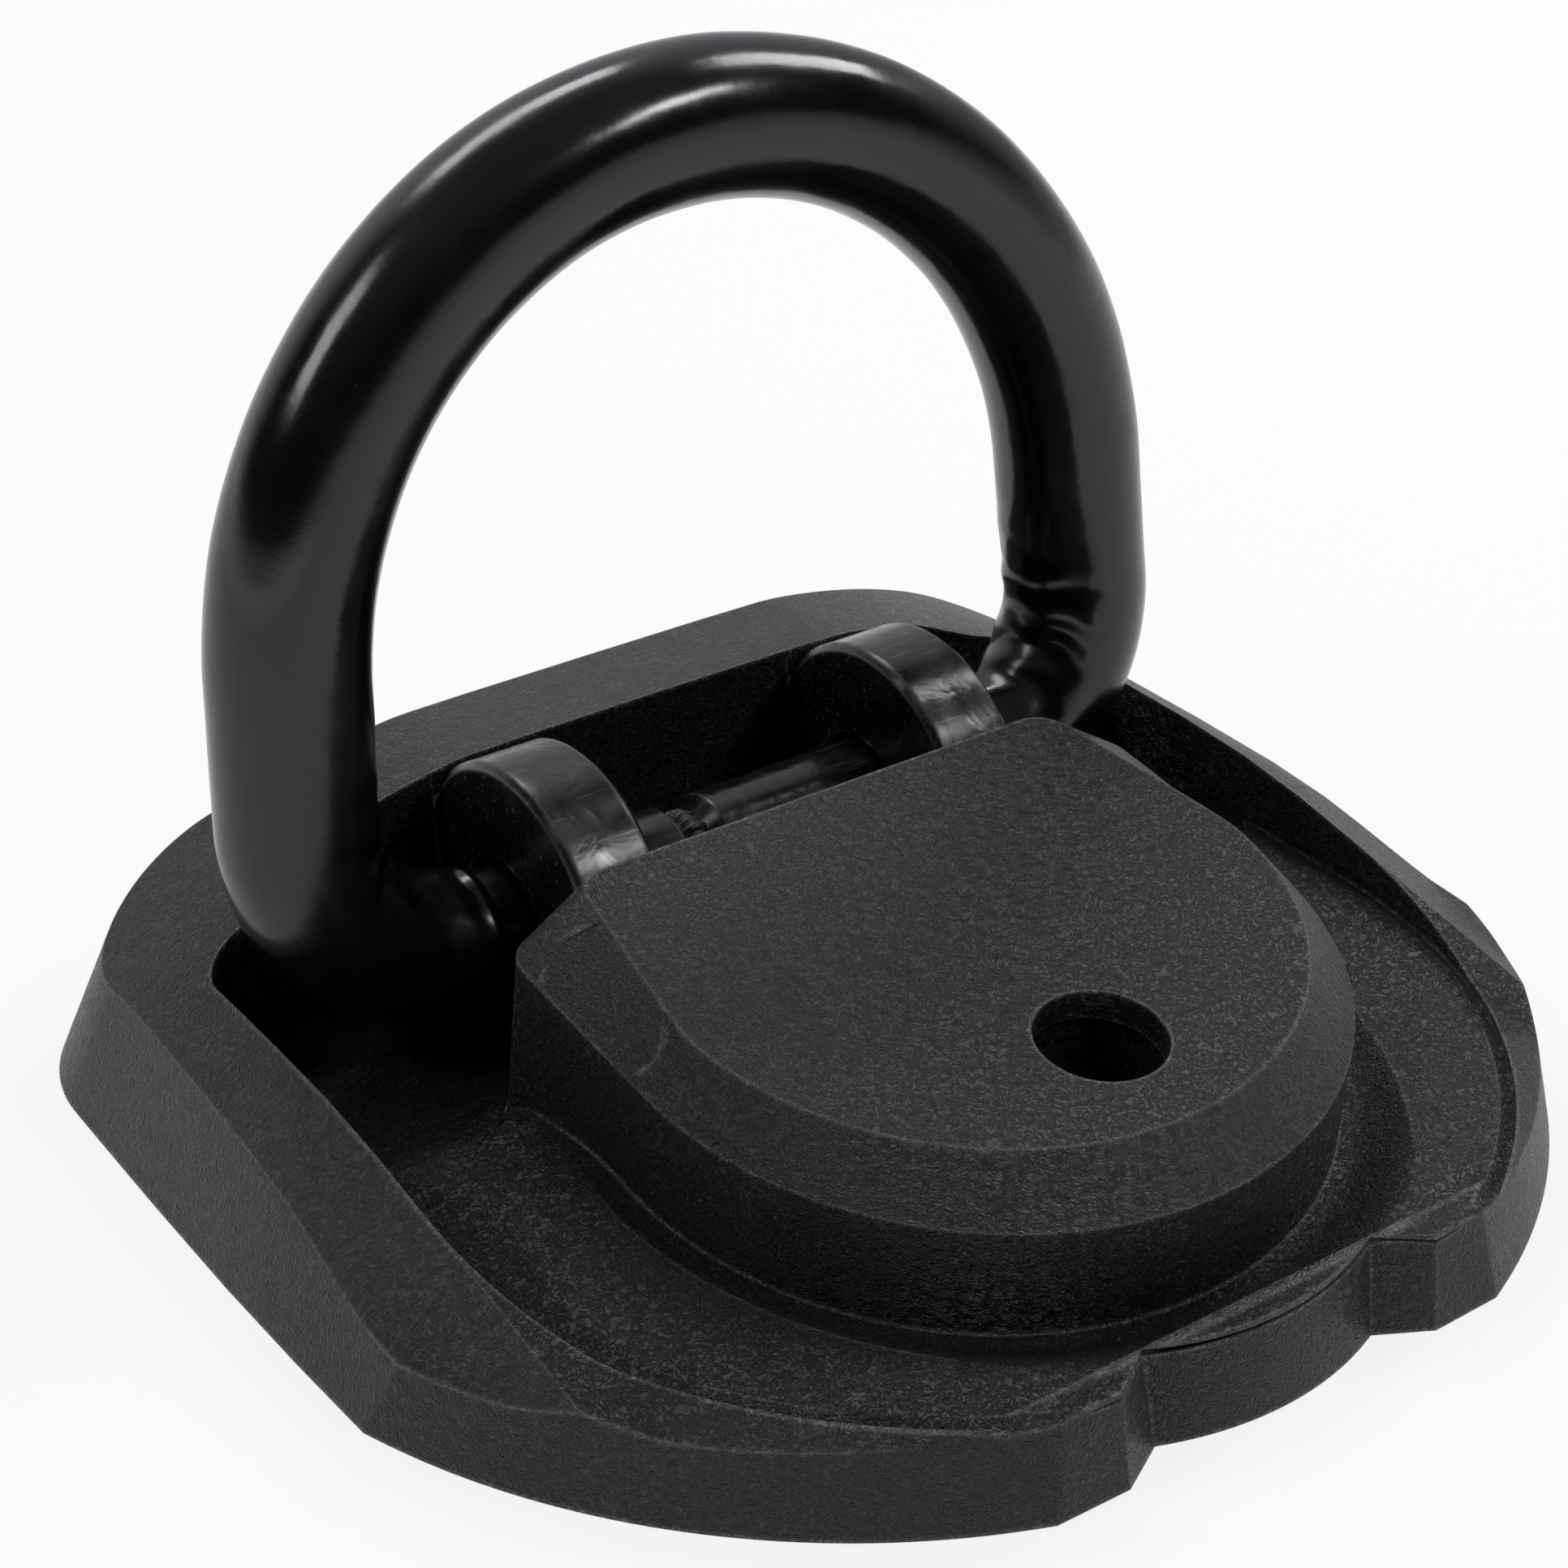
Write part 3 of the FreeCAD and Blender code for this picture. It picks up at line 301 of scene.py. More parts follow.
# %% Scratch group
def make_scratch_group():
    tree, source, sink = group_tree(
        "ThinScratches",
        {"Scale": (FLOAT, 90.0), "Amount": (FLOAT, 0.6)},
        {"Scratches": FLOAT, "Runs": FLOAT})
    place = add_node(tree, "ShaderNodeTexCoord")
    total = None
    for turn_x, turn_z, squeeze in ((0.3, 0.5, 14.0), (1.2, -0.7, 18.0)):
        lay = add_node(tree, "ShaderNodeMapping")
        lay.inputs["Rotation"].default_value = (turn_x, 0.2, turn_z)
        lay.inputs["Scale"].default_value = (1.0, squeeze, squeeze)
        join(tree, place.outputs["Object"], lay.inputs["Vector"])
        lines = add_node(tree, "ShaderNodeTexNoise", Detail=2.0)
        join(tree, lay.outputs["Vector"], lines.inputs["Vector"])
        join(tree, source.outputs["Scale"], lines.inputs["Scale"])
        cut = spread_value(tree, lines.outputs["Fac"], 0.66, 0.72, 0.0, 1.0)
        if total is None:
            total = cut
        else:
            both = add_node(tree, "ShaderNodeMath", operation="MAXIMUM")
            join(tree, total, both.inputs[0])
            join(tree, cut, both.inputs[1])
            total = both.outputs["Value"]
    share = add_node(tree, "ShaderNodeMath", operation="MULTIPLY")
    join(tree, total, share.inputs[0])
    join(tree, source.outputs["Amount"], share.inputs[1])
    join(tree, share.outputs["Value"], sink.inputs["Scratches"])
    runs = add_node(tree, "ShaderNodeTexNoise", Scale=170.0, Detail=3.0, Distortion=0.6)
    join(tree, place.outputs["Object"], runs.inputs["Vector"])
    join(tree, runs.outputs["Fac"], sink.inputs["Runs"])
    return tree


thin_scratches = make_scratch_group()


# %% Painted steel materials
def make_painted_steel(name, rough, bare, scratch, runs_depth, radius=0.0006):
    material, tree, shader = new_material(name, rough, specular=0.5)
    edges = use_group(tree, rubbed_and_highlit_edges, Radius=radius, Reach=0.10, Breakup_Scale=500.0)
    marks = use_group(tree, thin_scratches, Scale=90.0, Amount=scratch)
    wear = add_node(tree, "ShaderNodeMath", operation="MULTIPLY", use_clamp=True)
    join(tree, edges.outputs["Edge"], wear.inputs[0])
    wear.inputs[1].default_value = bare
    lightened = add_node(tree, "ShaderNodeMath", operation="MAXIMUM", use_clamp=True)
    join(tree, wear.outputs["Value"], lightened.inputs[0])
    join(tree, marks.outputs["Scratches"], lightened.inputs[1])
    paint = blend_colours(tree, lightened.outputs["Value"], (0.0055, 0.0055, 0.006), (0.22, 0.22, 0.225))
    join(tree, paint, shader.inputs["Base Color"])
    join(tree, spread_value(tree, marks.outputs["Runs"], 0.3, 0.7, rough - 0.08, rough + 0.10),
         shader.inputs["Roughness"])
    bump = add_node(tree, "ShaderNodeBump", Strength=0.5, Distance=runs_depth)
    join(tree, marks.outputs["Runs"], bump.inputs["Height"])
    join(tree, edges.outputs["Normal"], bump.inputs["Normal"])
    join(tree, bump.outputs["Normal"], shader.inputs["Normal"])
    return material


lug_paint = make_painted_steel("lug_paint", 0.24, 1.0, 0.35, 0.0004, radius=0.0009)
bar_paint = make_painted_steel("bar_paint", 0.22, 0.8, 0.15, 0.0004)
bead_paint = make_painted_steel("bead_paint", 0.38, 0.7, 0.1, 0.0008)
plate_paint = make_painted_steel("plate_paint", 0.45, 0.8, 0.3, 0.0003)

# %% [markdown]
# ## Sleeve plastic
# The sleeve is a soft black tube with a mirror-like skin. Its gloss is broken by faint long waves from the
# extruder and a little dust, which show in the highlights only.

# %% Sleeve material
def make_sleeve_plastic():
    material, tree, shader = new_material("sleeve_plastic", 0.16, specular=0.5)
    place = add_node(tree, "ShaderNodeTexCoord")
    waves = add_node(tree, "ShaderNodeTexNoise", Scale=75.0, Detail=3.0, Roughness=0.5)
    dust = add_node(tree, "ShaderNodeTexNoise", Scale=1500.0, Detail=2.0)
    for node in (waves, dust):
        join(tree, place.outputs["Object"], node.inputs["Vector"])
    specks = spread_value(tree, dust.outputs["Fac"], 0.72, 0.80, 0.0, 1.0)
    colour = blend_colours(tree, specks, (0.0025, 0.0025, 0.0028), (0.02, 0.02, 0.021))
    join(tree, colour, shader.inputs["Base Color"])
    join(tree, spread_value(tree, waves.outputs["Fac"], 0.3, 0.7, 0.12, 0.24), shader.inputs["Roughness"])
    bump = add_node(tree, "ShaderNodeBump", Strength=0.35, Distance=0.0004)
    join(tree, waves.outputs["Fac"], bump.inputs["Height"])
    fine = add_node(tree, "ShaderNodeBump", Strength=0.25, Distance=0.00003)
    join(tree, dust.outputs["Fac"], fine.inputs["Height"])
    join(tree, bump.outputs["Normal"], fine.inputs["Normal"])
    join(tree, fine.outputs["Normal"], shader.inputs["Normal"])
    return material


sleeve_plastic = make_sleeve_plastic()

# %% [markdown]
# ## Zinc on the screw
# The cover screw and its washer are zinc plated: a pale metal with a faint cloudy bloom.

# %% Zinc material
def make_zinc():
    material, tree, shader = new_material("screw_zinc", 0.34, metallic=1.0)
    marks = use_group(tree, thin_scratches, Scale=160.0, Amount=0.5)
    colour = blend_colours(tree, marks.outputs["Runs"], (0.34, 0.34, 0.35), (0.52, 0.52, 0.51))
    join(tree, colour, shader.inputs["Base Color"])
    join(tree, spread_value(tree, marks.outputs["Runs"], 0.3, 0.7, 0.26, 0.42), shader.inputs["Roughness"])
    bump = add_node(tree, "ShaderNodeBump", Strength=0.3, Distance=0.0001)
    join(tree, marks.outputs["Scratches"], bump.inputs["Height"])
    join(tree, bump.outputs["Normal"], shader.inputs["Normal"])
    return material


screw_zinc = make_zinc()

# %% [markdown]
# ## The cover's smooth skin
# The solid's long bows come as short flats, which would catch the light one by one. On a copy, the loose
# triangles are merged into one skin, and every edge that turns by more than 28 degrees is marked crisp. A
# subdivision surface then bends the flats into true bows, while the crisp edges and the corners where they
# turn hold their place. The Bevel node in the plastic gives them the small round of the mould. Laying the
# skin anew from cubes rounds the edges for real, but it also swells the fine lip of the rim, so it wasn't
# used here.

# %% Cover skin
SAME_SPOT = 0.000002
CRISP_EDGE = math.radians(28)
CRISP_CORNER = math.radians(14)


def bake(piece):
    """Turn a piece's modifiers into its plain mesh."""
    view = bpy.context.evaluated_depsgraph_get()
    mesh = bpy.data.meshes.new_from_object(piece.evaluated_get(view))
    piece.modifiers.clear()
    piece.data = mesh
    mesh.name = piece.name
    return piece


def make_skin(node_name, name, finish, levels):
    """A merged copy of a solid, bent smooth between its crisp edges."""
    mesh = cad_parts[node_name].data.copy()
    mesh.name = name
    mesh.materials.clear()
    mesh.materials.append(finish)
    loose = bmesh.new()
    loose.from_mesh(mesh)
    bmesh.ops.remove_doubles(loose, verts=loose.verts, dist=SAME_SPOT)
    edge_hold = loose.edges.layers.float.new("crease_edge")
    corner_hold = loose.verts.layers.float.new("crease_vert")
    for face in loose.faces:
        face.smooth = True
        face.material_index = 0
    for edge in loose.edges:
        turn = edge.calc_face_angle(0.0) if len(edge.link_faces) == 2 else math.pi
        edge.smooth = turn < CRISP_EDGE
        edge[edge_hold] = 0.0 if edge.smooth else 1.0
    for spot in loose.verts:
        held = [edge for edge in spot.link_edges if not edge.smooth]
        if len(held) == 2:
            ways = [edge.other_vert(spot).co - spot.co for edge in held]
            if min(way.length for way in ways) > 0 and ways[0].angle(-ways[1]) > CRISP_CORNER:
                spot[corner_hold] = 1.0
        elif held:
            spot[corner_hold] = 1.0
    loose.to_mesh(mesh)
    loose.free()
    skin = bpy.data.objects.new(name, mesh)
    bpy.context.scene.collection.objects.link(skin)
    bend = skin.modifiers.new("bend", "SUBSURF")
    bend.levels = levels
    bend.render_levels = levels
    bake(skin)
    print(name, len(skin.data.polygons), "faces")
    return skin


cover_skin = make_skin("cover", "cover_skin", cover_plastic, 1)
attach(cover_skin, "base")
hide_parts("cover")

# %% [markdown]
# ## The soft sleeve
# The sleeve is a soft tube that was pushed over the bent bar. It follows the bar's middle line: two straight
# tails, two lower bends, two legs and the arch. A Geometry Nodes tree sweeps a ring along that line and then
# moves each point in or out: folds fan out from the middle of each lower bend, where the tube is squeezed on
# its inner side, faint waves run everywhere, and a lip closes each end. A modelled tube with sculpted folds
# would look alike, but in the tree a fold's depth is one number.

# %% Middle line of the shackle
MM = 0.001
ARCH_RADIUS = 59.2 * MM
ARCH_RISE = 36.8 * MM
BEND_RADIUS = 21.0 * MM
FLARE = math.radians(3.4)
LEAN = math.radians(4.8)
PIVOT = Vector((0.0, -1.0 * MM, 20.3 * MM))
TAIL = 1.7 * MM

leg_top_x = ARCH_RADIUS * math.cos(FLARE)
leg_top_z = ARCH_RISE + ARCH_RADIUS * math.sin(FLARE)
leg_foot_z = BEND_RADIUS * (1.0 + math.sin(FLARE))
leg_foot_x = leg_top_x + (leg_top_z - leg_foot_z) * math.tan(FLARE)
bend_x = leg_foot_x - BEND_RADIUS * math.cos(FLARE)


def middle_line():
    """Points of the right half from its tail up to the top, then the same mirrored, left to right."""
    half = [(bend_x - TAIL, 0.0)]
    for step in range(33):
        turn = -math.pi / 2 + (math.pi / 2 + FLARE) * step / 32
        half.append((bend_x + BEND_RADIUS * math.cos(turn), BEND_RADIUS + BEND_RADIUS * math.sin(turn)))
    for step in range(65):
        turn = FLARE + (math.pi / 2 - FLARE) * step / 64
        half.append((ARCH_RADIUS * math.cos(turn), ARCH_RISE + ARCH_RADIUS * math.sin(turn)))
    left = [(-x, z) for x, z in half]
    return [Vector((x, 0.0, z)) for x, z in left + half[-2::-1]]


line = middle_line()
print("middle line:", len(line), "points, widest at", round(max(p.x for p in line), 4))

# %% [markdown]
# ### Nodes for the sleeve
# A tree is built like a sentence: position, distance from a bend, wave round it, depth. A small helper adds
# a maths node and joins its inputs, whether they are sockets or plain numbers.

# %% Sleeve tree
def new_geometry_tree(name, inputs):
    tree = bpy.data.node_groups.new(name, "GeometryNodeTree")
    tree.interface.new_socket("Geometry", in_out="INPUT", socket_type="NodeSocketGeometry")
    for label, (kind, value) in inputs.items():
        socket = tree.interface.new_socket(label, in_out="INPUT", socket_type=kind)
        if value is not None:
            socket.default_value = value
    tree.interface.new_socket("Geometry", in_out="OUTPUT", socket_type="NodeSocketGeometry")
    return tree, tree.nodes.new("NodeGroupInput"), tree.nodes.new("NodeGroupOutput")


def sums(tree, operation, *terms, clamp=False):
    """A maths node; each term is a socket or a number."""
    node = add_node(tree, "ShaderNodeMath", operation=operation, use_clamp=clamp)
    for index, term in enumerate(terms):
        if isinstance(term, (int, float)):
            node.inputs[index].default_value = term
        else:
            join(tree, term, node.inputs[index])
    return node.outputs["Value"]


def ease(tree, value, low, high, out_low, out_high):
    """Smooth change from one level to another."""
    node = add_node(tree, "ShaderNodeMapRange", interpolation_type="SMOOTHSTEP")
    join(tree, value, node.inputs["Value"])
    for label, number in (("From Min", low), ("From Max", high), ("To Min", out_low), ("To Max", out_high)):
        if isinstance(number, (int, float)):
            node.inputs[label].default_value = number
        else:
            join(tree, number, node.inputs[label])
    return node.outputs["Result"]


def make_sleeve_tree():
    tree, source, sink = new_geometry_tree("SoftSleeve", {
        "Radius": (FLOAT, 0.010),
        "Rings": ("NodeSocketInt", 700),
        "Sides": ("NodeSocketInt", 72),
        "Fold Depth": (FLOAT, 0.0005),
        "Folds": (FLOAT, 12.0),
        "Wave Depth": (FLOAT, 0.0005),
        "Lip": (FLOAT, 0.0009),
        "Material": ("NodeSocketMaterial", None),
    })
    curve = tree.nodes.new("GeometryNodeMeshToCurve")
    join(tree, source.outputs["Geometry"], curve.inputs["Mesh"])
    even = tree.nodes.new("GeometryNodeResampleCurve")
    join(tree, curve.outputs["Curve"], even.inputs["Curve"])
    join(tree, source.outputs["Rings"], even.inputs["Count"])
    ring = tree.nodes.new("GeometryNodeCurvePrimitiveCircle")
    join(tree, source.outputs["Radius"], ring.inputs["Radius"])
    join(tree, source.outputs["Sides"], ring.inputs["Resolution"])
    tube = tree.nodes.new("GeometryNodeCurveToMesh")
    join(tree, even.outputs["Curve"], tube.inputs["Curve"])
    join(tree, ring.outputs["Curve"], tube.inputs["Profile Curve"])
    tube.inputs["Fill Caps"].default_value = True

    spot = tree.nodes.new("GeometryNodeInputPosition")
    axes = add_node(tree, "ShaderNodeSeparateXYZ")
    join(tree, spot.outputs["Position"], axes.inputs["Vector"])
    side = sums(tree, "ABSOLUTE", axes.outputs["X"])
    out = sums(tree, "SUBTRACT", side, bend_x)
    rise = sums(tree, "SUBTRACT", axes.outputs["Z"], BEND_RADIUS)
    around = sums(tree, "ARCTAN2", rise, out)
    reach = sums(tree, "SQRT", sums(tree, "ADD", sums(tree, "MULTIPLY", out, out),
                                    sums(tree, "MULTIPLY", rise, rise)))
    # folds: a fan of waves round the bend's middle, deepest on the inner side
    stray = add_node(tree, "ShaderNodeTexNoise", Scale=85.0, Detail=1.5)
    join(tree, spot.outputs["Position"], stray.inputs["Vector"])
    phase = sums(tree, "ADD", sums(tree, "MULTIPLY", around, source.outputs["Folds"]),
                 sums(tree, "MULTIPLY", stray.outputs["Fac"], 16.0))
    fan = sums(tree, "MULTIPLY", sums(tree, "ADD", sums(tree, "SINE", phase), 1.0), 0.5)
    inner = ease(tree, reach, 0.011, 0.023, 1.0, 0.0)
    low = ease(tree, axes.outputs["Z"], 0.026, 0.040, 1.0, 0.0)
    fold = sums(tree, "MULTIPLY", sums(tree, "MULTIPLY", fan, inner),
                sums(tree, "MULTIPLY", low, source.outputs["Fold Depth"]))
    # waves: slow swellings of the soft wall
    swell = add_node(tree, "ShaderNodeTexNoise", Scale=42.0, Detail=2.0, Roughness=0.45)
    join(tree, spot.outputs["Position"], swell.inputs["Vector"])
    wave = sums(tree, "MULTIPLY", sums(tree, "SUBTRACT", swell.outputs["Fac"], 0.72),
                source.outputs["Wave Depth"])
    # lip: each end turns in
    past_end = sums(tree, "SUBTRACT", side, bend_x - TAIL)
    end = ease(tree, past_end, 0.0, 0.0016, 1.0, 0.0)
    end_low = ease(tree, axes.outputs["Z"], 0.012, 0.014, 1.0, 0.0)
    lip = sums(tree, "MULTIPLY", sums(tree, "MULTIPLY", end, end_low), source.outputs["Lip"])

    shift = sums(tree, "SUBTRACT", sums(tree, "SUBTRACT", wave, fold), lip)
    outward = tree.nodes.new("GeometryNodeInputNormal")
    move = add_node(tree, "ShaderNodeVectorMath", operation="SCALE")
    join(tree, outward.outputs["Normal"], move.inputs[0])
    join(tree, shift, move.inputs["Scale"])
    shaped = tree.nodes.new("GeometryNodeSetPosition")
    join(tree, tube.outputs["Mesh"], shaped.inputs["Geometry"])
    join(tree, move.outputs["Vector"], shaped.inputs["Offset"])
    lean = tree.nodes.new("GeometryNodeTransform")
    lean.inputs["Rotation"].default_value = (-LEAN, 0.0, 0.0)
    lean.inputs["Translation"].default_value = PIVOT
    join(tree, shaped.outputs["Geometry"], lean.inputs["Geometry"])
    smooth = tree.nodes.new("GeometryNodeSetShadeSmooth")
    join(tree, lean.outputs["Geometry"], smooth.inputs["Geometry"])
    whole = tree.nodes.new("GeometryNodeRealizeInstances")
    join(tree, smooth.outputs["Geometry"], whole.inputs["Geometry"])
    finish = tree.nodes.new("GeometryNodeSetMaterial")
    join(tree, whole.outputs["Geometry"], finish.inputs["Geometry"])
    join(tree, source.outputs["Material"], finish.inputs["Material"])
    join(tree, finish.outputs["Geometry"], sink.inputs["Geometry"])
    return tree


def grow(name, points, closed, tree, **values):
    """Give a line of points to a tree, set its named inputs and keep the result as a plain mesh."""
    mesh = bpy.data.meshes.new(name)
    edges = [(index, index + 1) for index in range(len(points) - 1)]
    if closed:
        edges.append((len(points) - 1, 0))
    mesh.from_pydata(points, edges, [])
    piece = bpy.data.objects.new(name, mesh)
    bpy.context.scene.collection.objects.link(piece)
    nodes = piece.modifiers.new("nodes", "NODES")
    nodes.node_group = tree
    for item in tree.interface.items_tree:
        label = item.name.replace(" ", "_")
        if item.in_out == "INPUT" and label in values:
            nodes[item.identifier] = values[label]
    return bake(piece)


sleeve_tree = make_sleeve_tree()
sleeve = grow("soft_sleeve", line, False, sleeve_tree, Radius=10.0 * MM, Fold_Depth=0.00035,
              Material=sleeve_plastic)
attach(sleeve, "shackle")
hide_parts("shackle_sleeve")
print("sleeve:", len(sleeve.data.polygons), "faces")

# %% [markdown]
# ## Weld beads
# A weld is laid drop by drop: each drop sets as a small flat coin that overlaps the one before. So a bead
# is a row of squashed balls along a path, each turned along the path and sized a little differently by a
# seeded random value. The same tree makes the beads round the feet of the ears and the small one between the
# bar's tips.

# %% Weld tree
DROP_SIDES = 14
DROP_RINGS = 8


def make_weld_tree():
    tree, source, sink = new_geometry_tree("WeldBead", {
        "Step": (FLOAT, 0.0011),
        "Size": (FLOAT, 0.0023),
        "Thickness": (FLOAT, 0.55),
        "Unevenness": (FLOAT, 0.12),
        "Seed": ("NodeSocketInt", 3),
        "Material": ("NodeSocketMaterial", None),
    })
    curve = tree.nodes.new("GeometryNodeMeshToCurve")
    join(tree, source.outputs["Geometry"], curve.inputs["Mesh"])
    stops = add_node(tree, "GeometryNodeCurveToPoints", mode="LENGTH")
    join(tree, curve.outputs["Curve"], stops.inputs["Curve"])
    join(tree, source.outputs["Step"], stops.inputs["Length"])
    ball = tree.nodes.new("GeometryNodeMeshUVSphere")
    ball.inputs["Segments"].default_value = DROP_SIDES
    ball.inputs["Rings"].default_value = DROP_RINGS
    join(tree, source.outputs["Size"], ball.inputs["Radius"])
    soft = tree.nodes.new("GeometryNodeSetShadeSmooth")
    join(tree, ball.outputs["Mesh"], soft.inputs["Geometry"])
    drops = tree.nodes.new("GeometryNodeInstanceOnPoints")
    join(tree, stops.outputs["Points"], drops.inputs["Points"])
    join(tree, soft.outputs["Geometry"], drops.inputs["Instance"])
    join(tree, stops.outputs["Rotation"], drops.inputs["Rotation"])
    chance = add_node(tree, "FunctionNodeRandomValue", data_type="FLOAT")
    join(tree, sums(tree, "SUBTRACT", 1.0, source.outputs["Unevenness"]), chance.inputs[2])
    join(tree, sums(tree, "ADD", 1.0, source.outputs["Unevenness"]), chance.inputs[3])
    join(tree, source.outputs["Seed"], chance.inputs["Seed"])
    size = add_node(tree, "ShaderNodeCombineXYZ")
    join(tree, chance.outputs[1], size.inputs["X"])
    join(tree, chance.outputs[1], size.inputs["Y"])
    join(tree, source.outputs["Thickness"], size.inputs["Z"])
    join(tree, size.outputs["Vector"], drops.inputs["Scale"])
    whole = tree.nodes.new("GeometryNodeRealizeInstances")
    join(tree, drops.outputs["Instances"], whole.inputs["Geometry"])
    finish = tree.nodes.new("GeometryNodeSetMaterial")
    join(tree, whole.outputs["Geometry"], finish.inputs["Geometry"])
    join(tree, source.outputs["Material"], finish.inputs["Material"])
    join(tree, finish.outputs["Geometry"], sink.inputs["Geometry"])
    return tree


def foot_path(node_name, away, level):
    """A rounded rectangle round the foot of an ear."""
    low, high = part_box(node_name)
    points = []
    for corner in range(4):
        x = high[0] if corner in (0, 3) else low[0]
        y = high[1] if corner in (0, 1) else low[1]
        for step in range(7):
            turn = math.radians(90 * corner + 15 * step)
            points.append((x + away * math.cos(turn), y + away * math.sin(turn), level))
    return points


weld_tree = make_weld_tree()
for node_name in ("right_lug", "left_lug"):
    bead = grow(node_name + "_bead", foot_path(node_name, 0.0009, 0.0073), True, weld_tree,
                Seed=5 if node_name == "right_lug" else 9, Material=bead_paint)
    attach(bead, "base")
    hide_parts(node_name + "_weld")
    print(bead.name, len(bead.data.polygons), "faces")

TIP_X = -6.0 * MM
TIP_RADIUS = 4.9 * MM
TIP_STEPS = 36
tips = []
for step in range(TIP_STEPS):
    turn = 2 * math.pi * step / TIP_STEPS
    tips.append((TIP_X, PIVOT.y + TIP_RADIUS * math.cos(turn), PIVOT.z + TIP_RADIUS * math.sin(turn)))
tip_bead = grow("tip_bead", tips, True, weld_tree, Step=0.0012, Size=0.0019, Unevenness=0.2, Seed=2,
                Material=bead_paint)
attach(tip_bead, "shackle")
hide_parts("shackle_weld")
print(tip_bead.name, len(tip_bead.data.polygons), "faces")

# %% [markdown]
# ## Finishes on the solids
# Each solid keeps its shape and takes its finish by its name. Solids arrive as loose triangles, so they are
# shaded flat, and the Bevel node in their materials softens the edges.

# %% Assign the finishes
FINISHES = {
    "cover": cover_plastic,
    "base_plate": plate_paint,
    "right_lug": lug_paint,
    "left_lug": lug_paint,
    "right_lug_weld": bead_paint,
    "left_lug_weld": bead_paint,
    "shackle_bar": bar_paint,
    "shackle_sleeve": sleeve_plastic,
    "shackle_weld": bead_paint,
    "cover_screw": screw_zinc,
    "cover_washer": screw_zinc,
}
for node_name, finish in FINISHES.items():
    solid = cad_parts[node_name]
    if not solid.data.materials:
        solid.data.materials.append(finish)
    for index in range(len(solid.data.materials)):
        solid.data.materials[index] = finish
    print(node_name, "->", finish.name, len(solid.data.polygons), "faces")

# %% [markdown]
# ## Studio
# The photograph was taken on white, with soft lights: one high on the left, one behind, one on the right
# and a small one high in front. The floor is pale. It only looks pure white because the camera and the
# reflections see a plain white there, while it still takes a soft shadow.

# %% Floor
WHITE_FOR_CAMERA = 0.85
WHITE_FOR_OTHERS = 0.75
FLOOR_REACH = 3.0
FLOOR_DEPTH = -0.0002


def make_floor():
    material, tree, shader = new_material("studio_floor", 0.9, specular=0.1)
    shader.inputs["Base Color"].default_value = (0.8, 0.8, 0.8, 1.0)
    bright = add_node(tree, "ShaderNodeEmission", Color=(1.0, 1.0, 1.0, 1.0), Strength=1.0)
    rays = tree.nodes.new("ShaderNodeLightPath")
    share = add_node(tree, "ShaderNodeMath", operation="MULTIPLY_ADD")
    join(tree, rays.outputs["Is Camera Ray"], share.inputs[0])
    share.inputs[1].default_value = WHITE_FOR_CAMERA - WHITE_FOR_OTHERS
    share.inputs[2].default_value = WHITE_FOR_OTHERS
    mix = tree.nodes.new("ShaderNodeMixShader")
    join(tree, share.outputs["Value"], mix.inputs["Fac"])
    join(tree, shader.outputs["BSDF"], mix.inputs[1])
    join(tree, bright.outputs["Emission"], mix.inputs[2])
    join(tree, mix.outputs["Shader"], tree.nodes["Material Output"].inputs["Surface"])
    mesh = bpy.data.meshes.new("studio_floor")
    signs = ((-1, -1), (1, -1), (1, 1), (-1, 1))
    corners = [(x * FLOOR_REACH, y * FLOOR_REACH, FLOOR_DEPTH) for x, y in signs]
    mesh.from_pydata(corners, [], [(0, 1, 2, 3)])
    mesh.materials.append(material)
    floor = bpy.data.objects.new("studio_floor", mesh)
    bpy.context.scene.collection.objects.link(floor)


make_floor()

# %% [markdown]
# ### What the surfaces reflect
# Black plastic shows little of its own colour: what one sees is the room in it. The walls that lean out
# mirror the bright sweep near the floor, the level places mirror the bright rear wall, and the faces that
# look at the camera mirror the dark side where the photographer stands. So the world is bright low down and
# behind, a little brighter on the left, mild overhead, and nearly dark in front. The camera itself sees
# plain white.

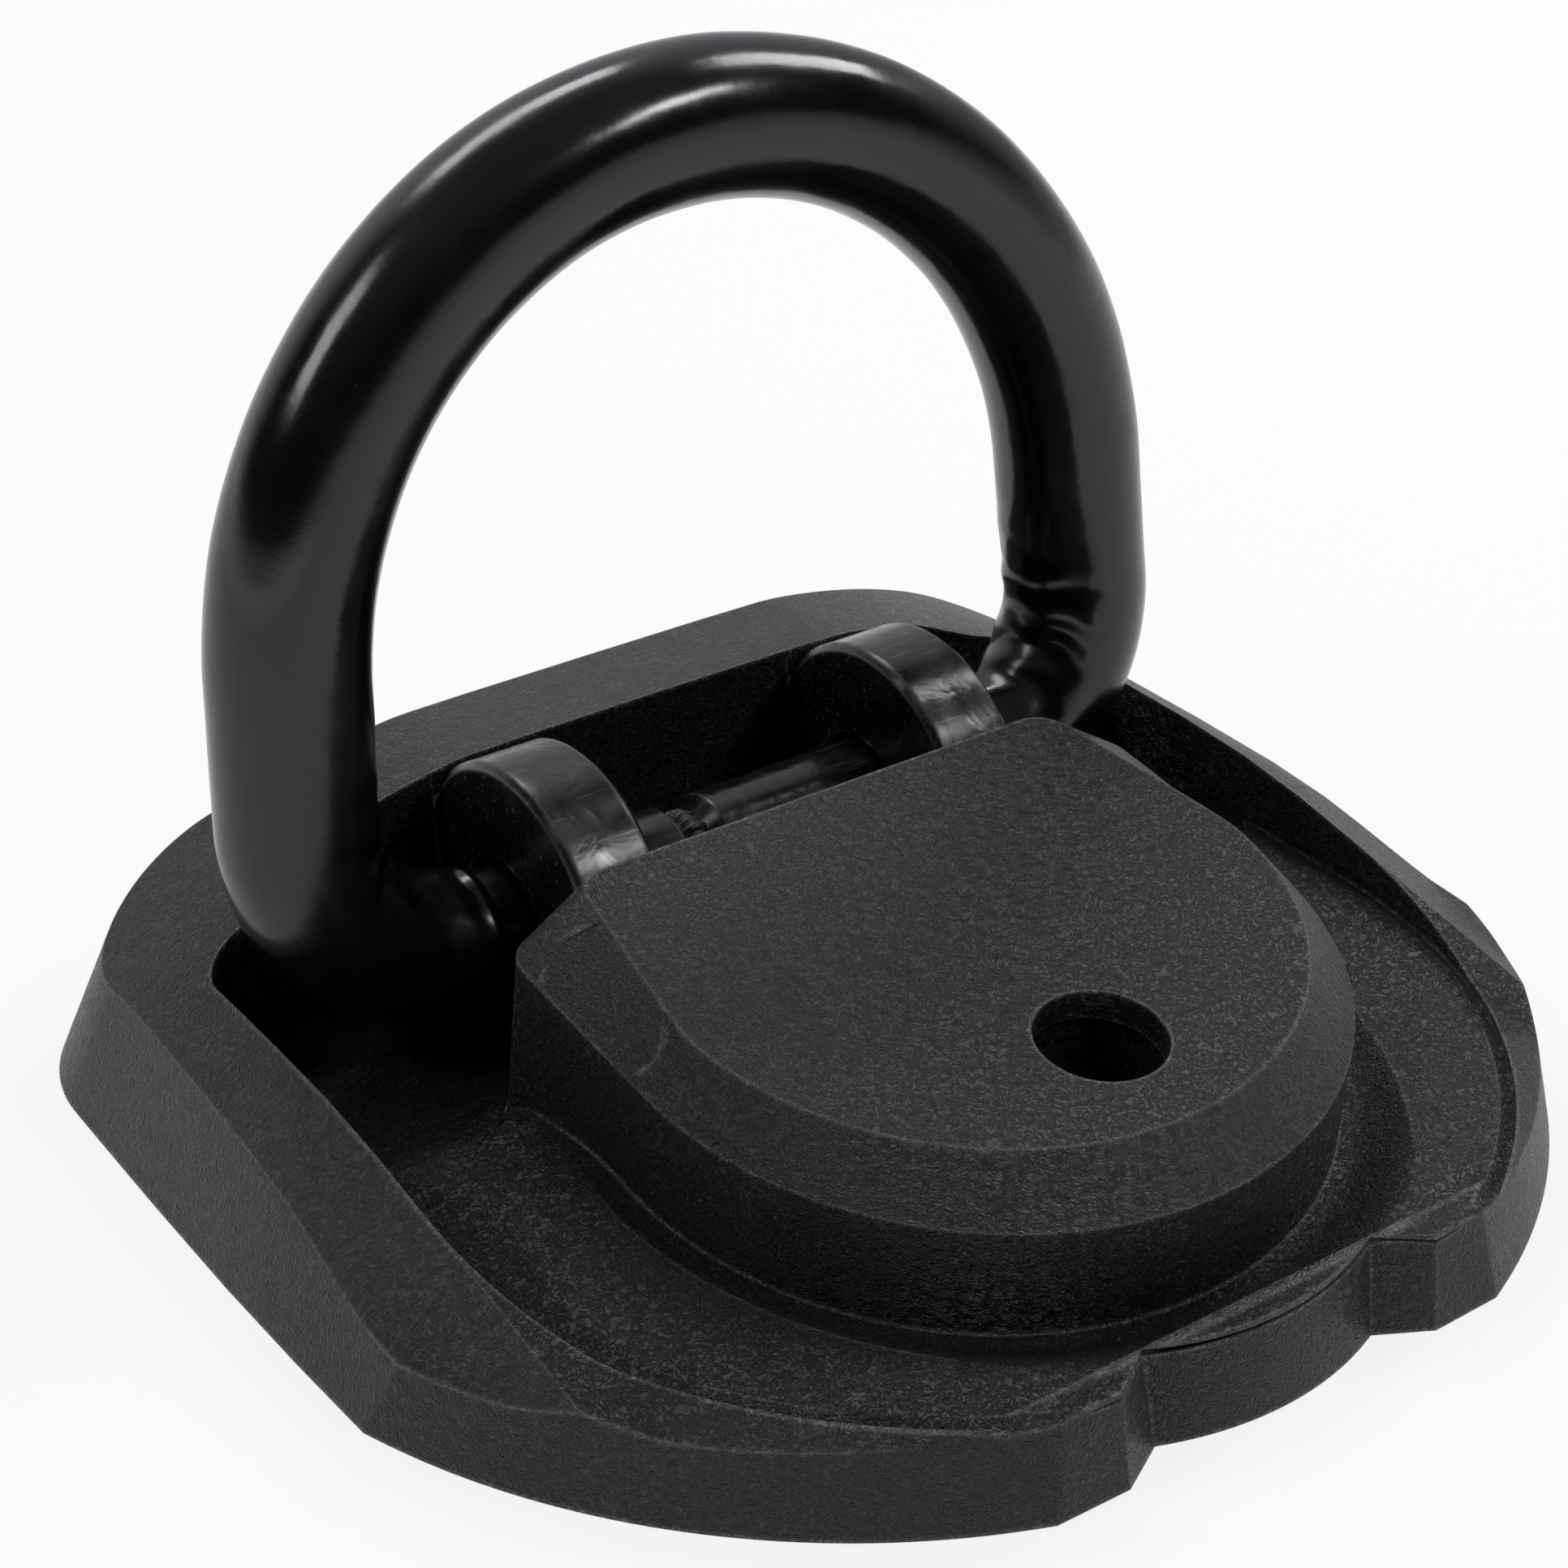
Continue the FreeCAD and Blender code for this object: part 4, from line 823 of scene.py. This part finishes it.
# %% World and lights
def make_world():
    world = bpy.data.worlds.new("studio_world")
    bpy.context.scene.world = world
    world.use_nodes = True
    tree = world.node_tree
    tree.nodes.clear()
    sink = tree.nodes.new("ShaderNodeOutputWorld")
    toward = tree.nodes.new("ShaderNodeTexCoord")
    axes = add_node(tree, "ShaderNodeSeparateXYZ")
    join(tree, toward.outputs["Generated"], axes.inputs["Vector"])
    behind = sums(tree, "ADD", sums(tree, "MULTIPLY", axes.outputs["X"], 0.55),
                  sums(tree, "MULTIPLY", axes.outputs["Y"], 0.83))
    low = ease(tree, axes.outputs["Z"], 0.02, 0.22, 0.80, 0.0)
    back = ease(tree, behind, 0.10, 0.65, 0.0, 0.60)
    high = ease(tree, axes.outputs["Z"], 0.45, 0.95, 0.0, 0.16)
    side = sums(tree, "ADD", ease(tree, axes.outputs["X"], -0.8, 0.4, 0.5, 0.0),
                ease(tree, axes.outputs["X"], 0.5, 1.0, 1.0, 0.55))
    around = sums(tree, "MULTIPLY", sums(tree, "MAXIMUM", low, back), side)
    total = sums(tree, "ADD", sums(tree, "MAXIMUM", around, high), 0.02)
    white = add_node(tree, "ShaderNodeBackground", Color=(1.0, 1.0, 1.0, 1.0), Strength=1.0)
    soft = add_node(tree, "ShaderNodeBackground", Color=(0.93, 0.95, 1.0, 1.0))
    join(tree, total, soft.inputs["Strength"])
    rays = tree.nodes.new("ShaderNodeLightPath")
    mix = tree.nodes.new("ShaderNodeMixShader")
    join(tree, rays.outputs["Is Camera Ray"], mix.inputs["Fac"])
    join(tree, soft.outputs["Background"], mix.inputs[1])
    join(tree, white.outputs["Background"], mix.inputs[2])
    join(tree, mix.outputs["Shader"], sink.inputs["Surface"])


def soft_light(name, place, target, width, height, watts):
    data = bpy.data.lights.new(name, "AREA")
    data.shape = "RECTANGLE"
    data.size = width
    data.size_y = height
    data.energy = watts
    lamp = bpy.data.objects.new(name, data)
    lamp.location = place
    aim = Vector(target) - Vector(place)
    lamp.rotation_euler = aim.to_track_quat("-Z", "Y").to_euler()
    bpy.context.scene.collection.objects.link(lamp)


make_world()
soft_light("left_softbox", (-0.80, 0.22, 0.85), (0, 0, 0.05), 0.30, 0.45, 2.6)
soft_light("back_softbox", (0.10, 0.75, 1.05), (0, 0, 0.05), 0.7, 0.3, 4.5)
soft_light("high_softbox", (0.54, -0.70, 0.96), (0, 0, 0.10), 0.38, 0.14, 3.6)
soft_light("right_softbox", (0.80, 0.10, 0.85), (0, 0, 0.05), 0.3, 0.5, 4.2)
bpy.context.scene.view_settings.view_transform = "Standard"
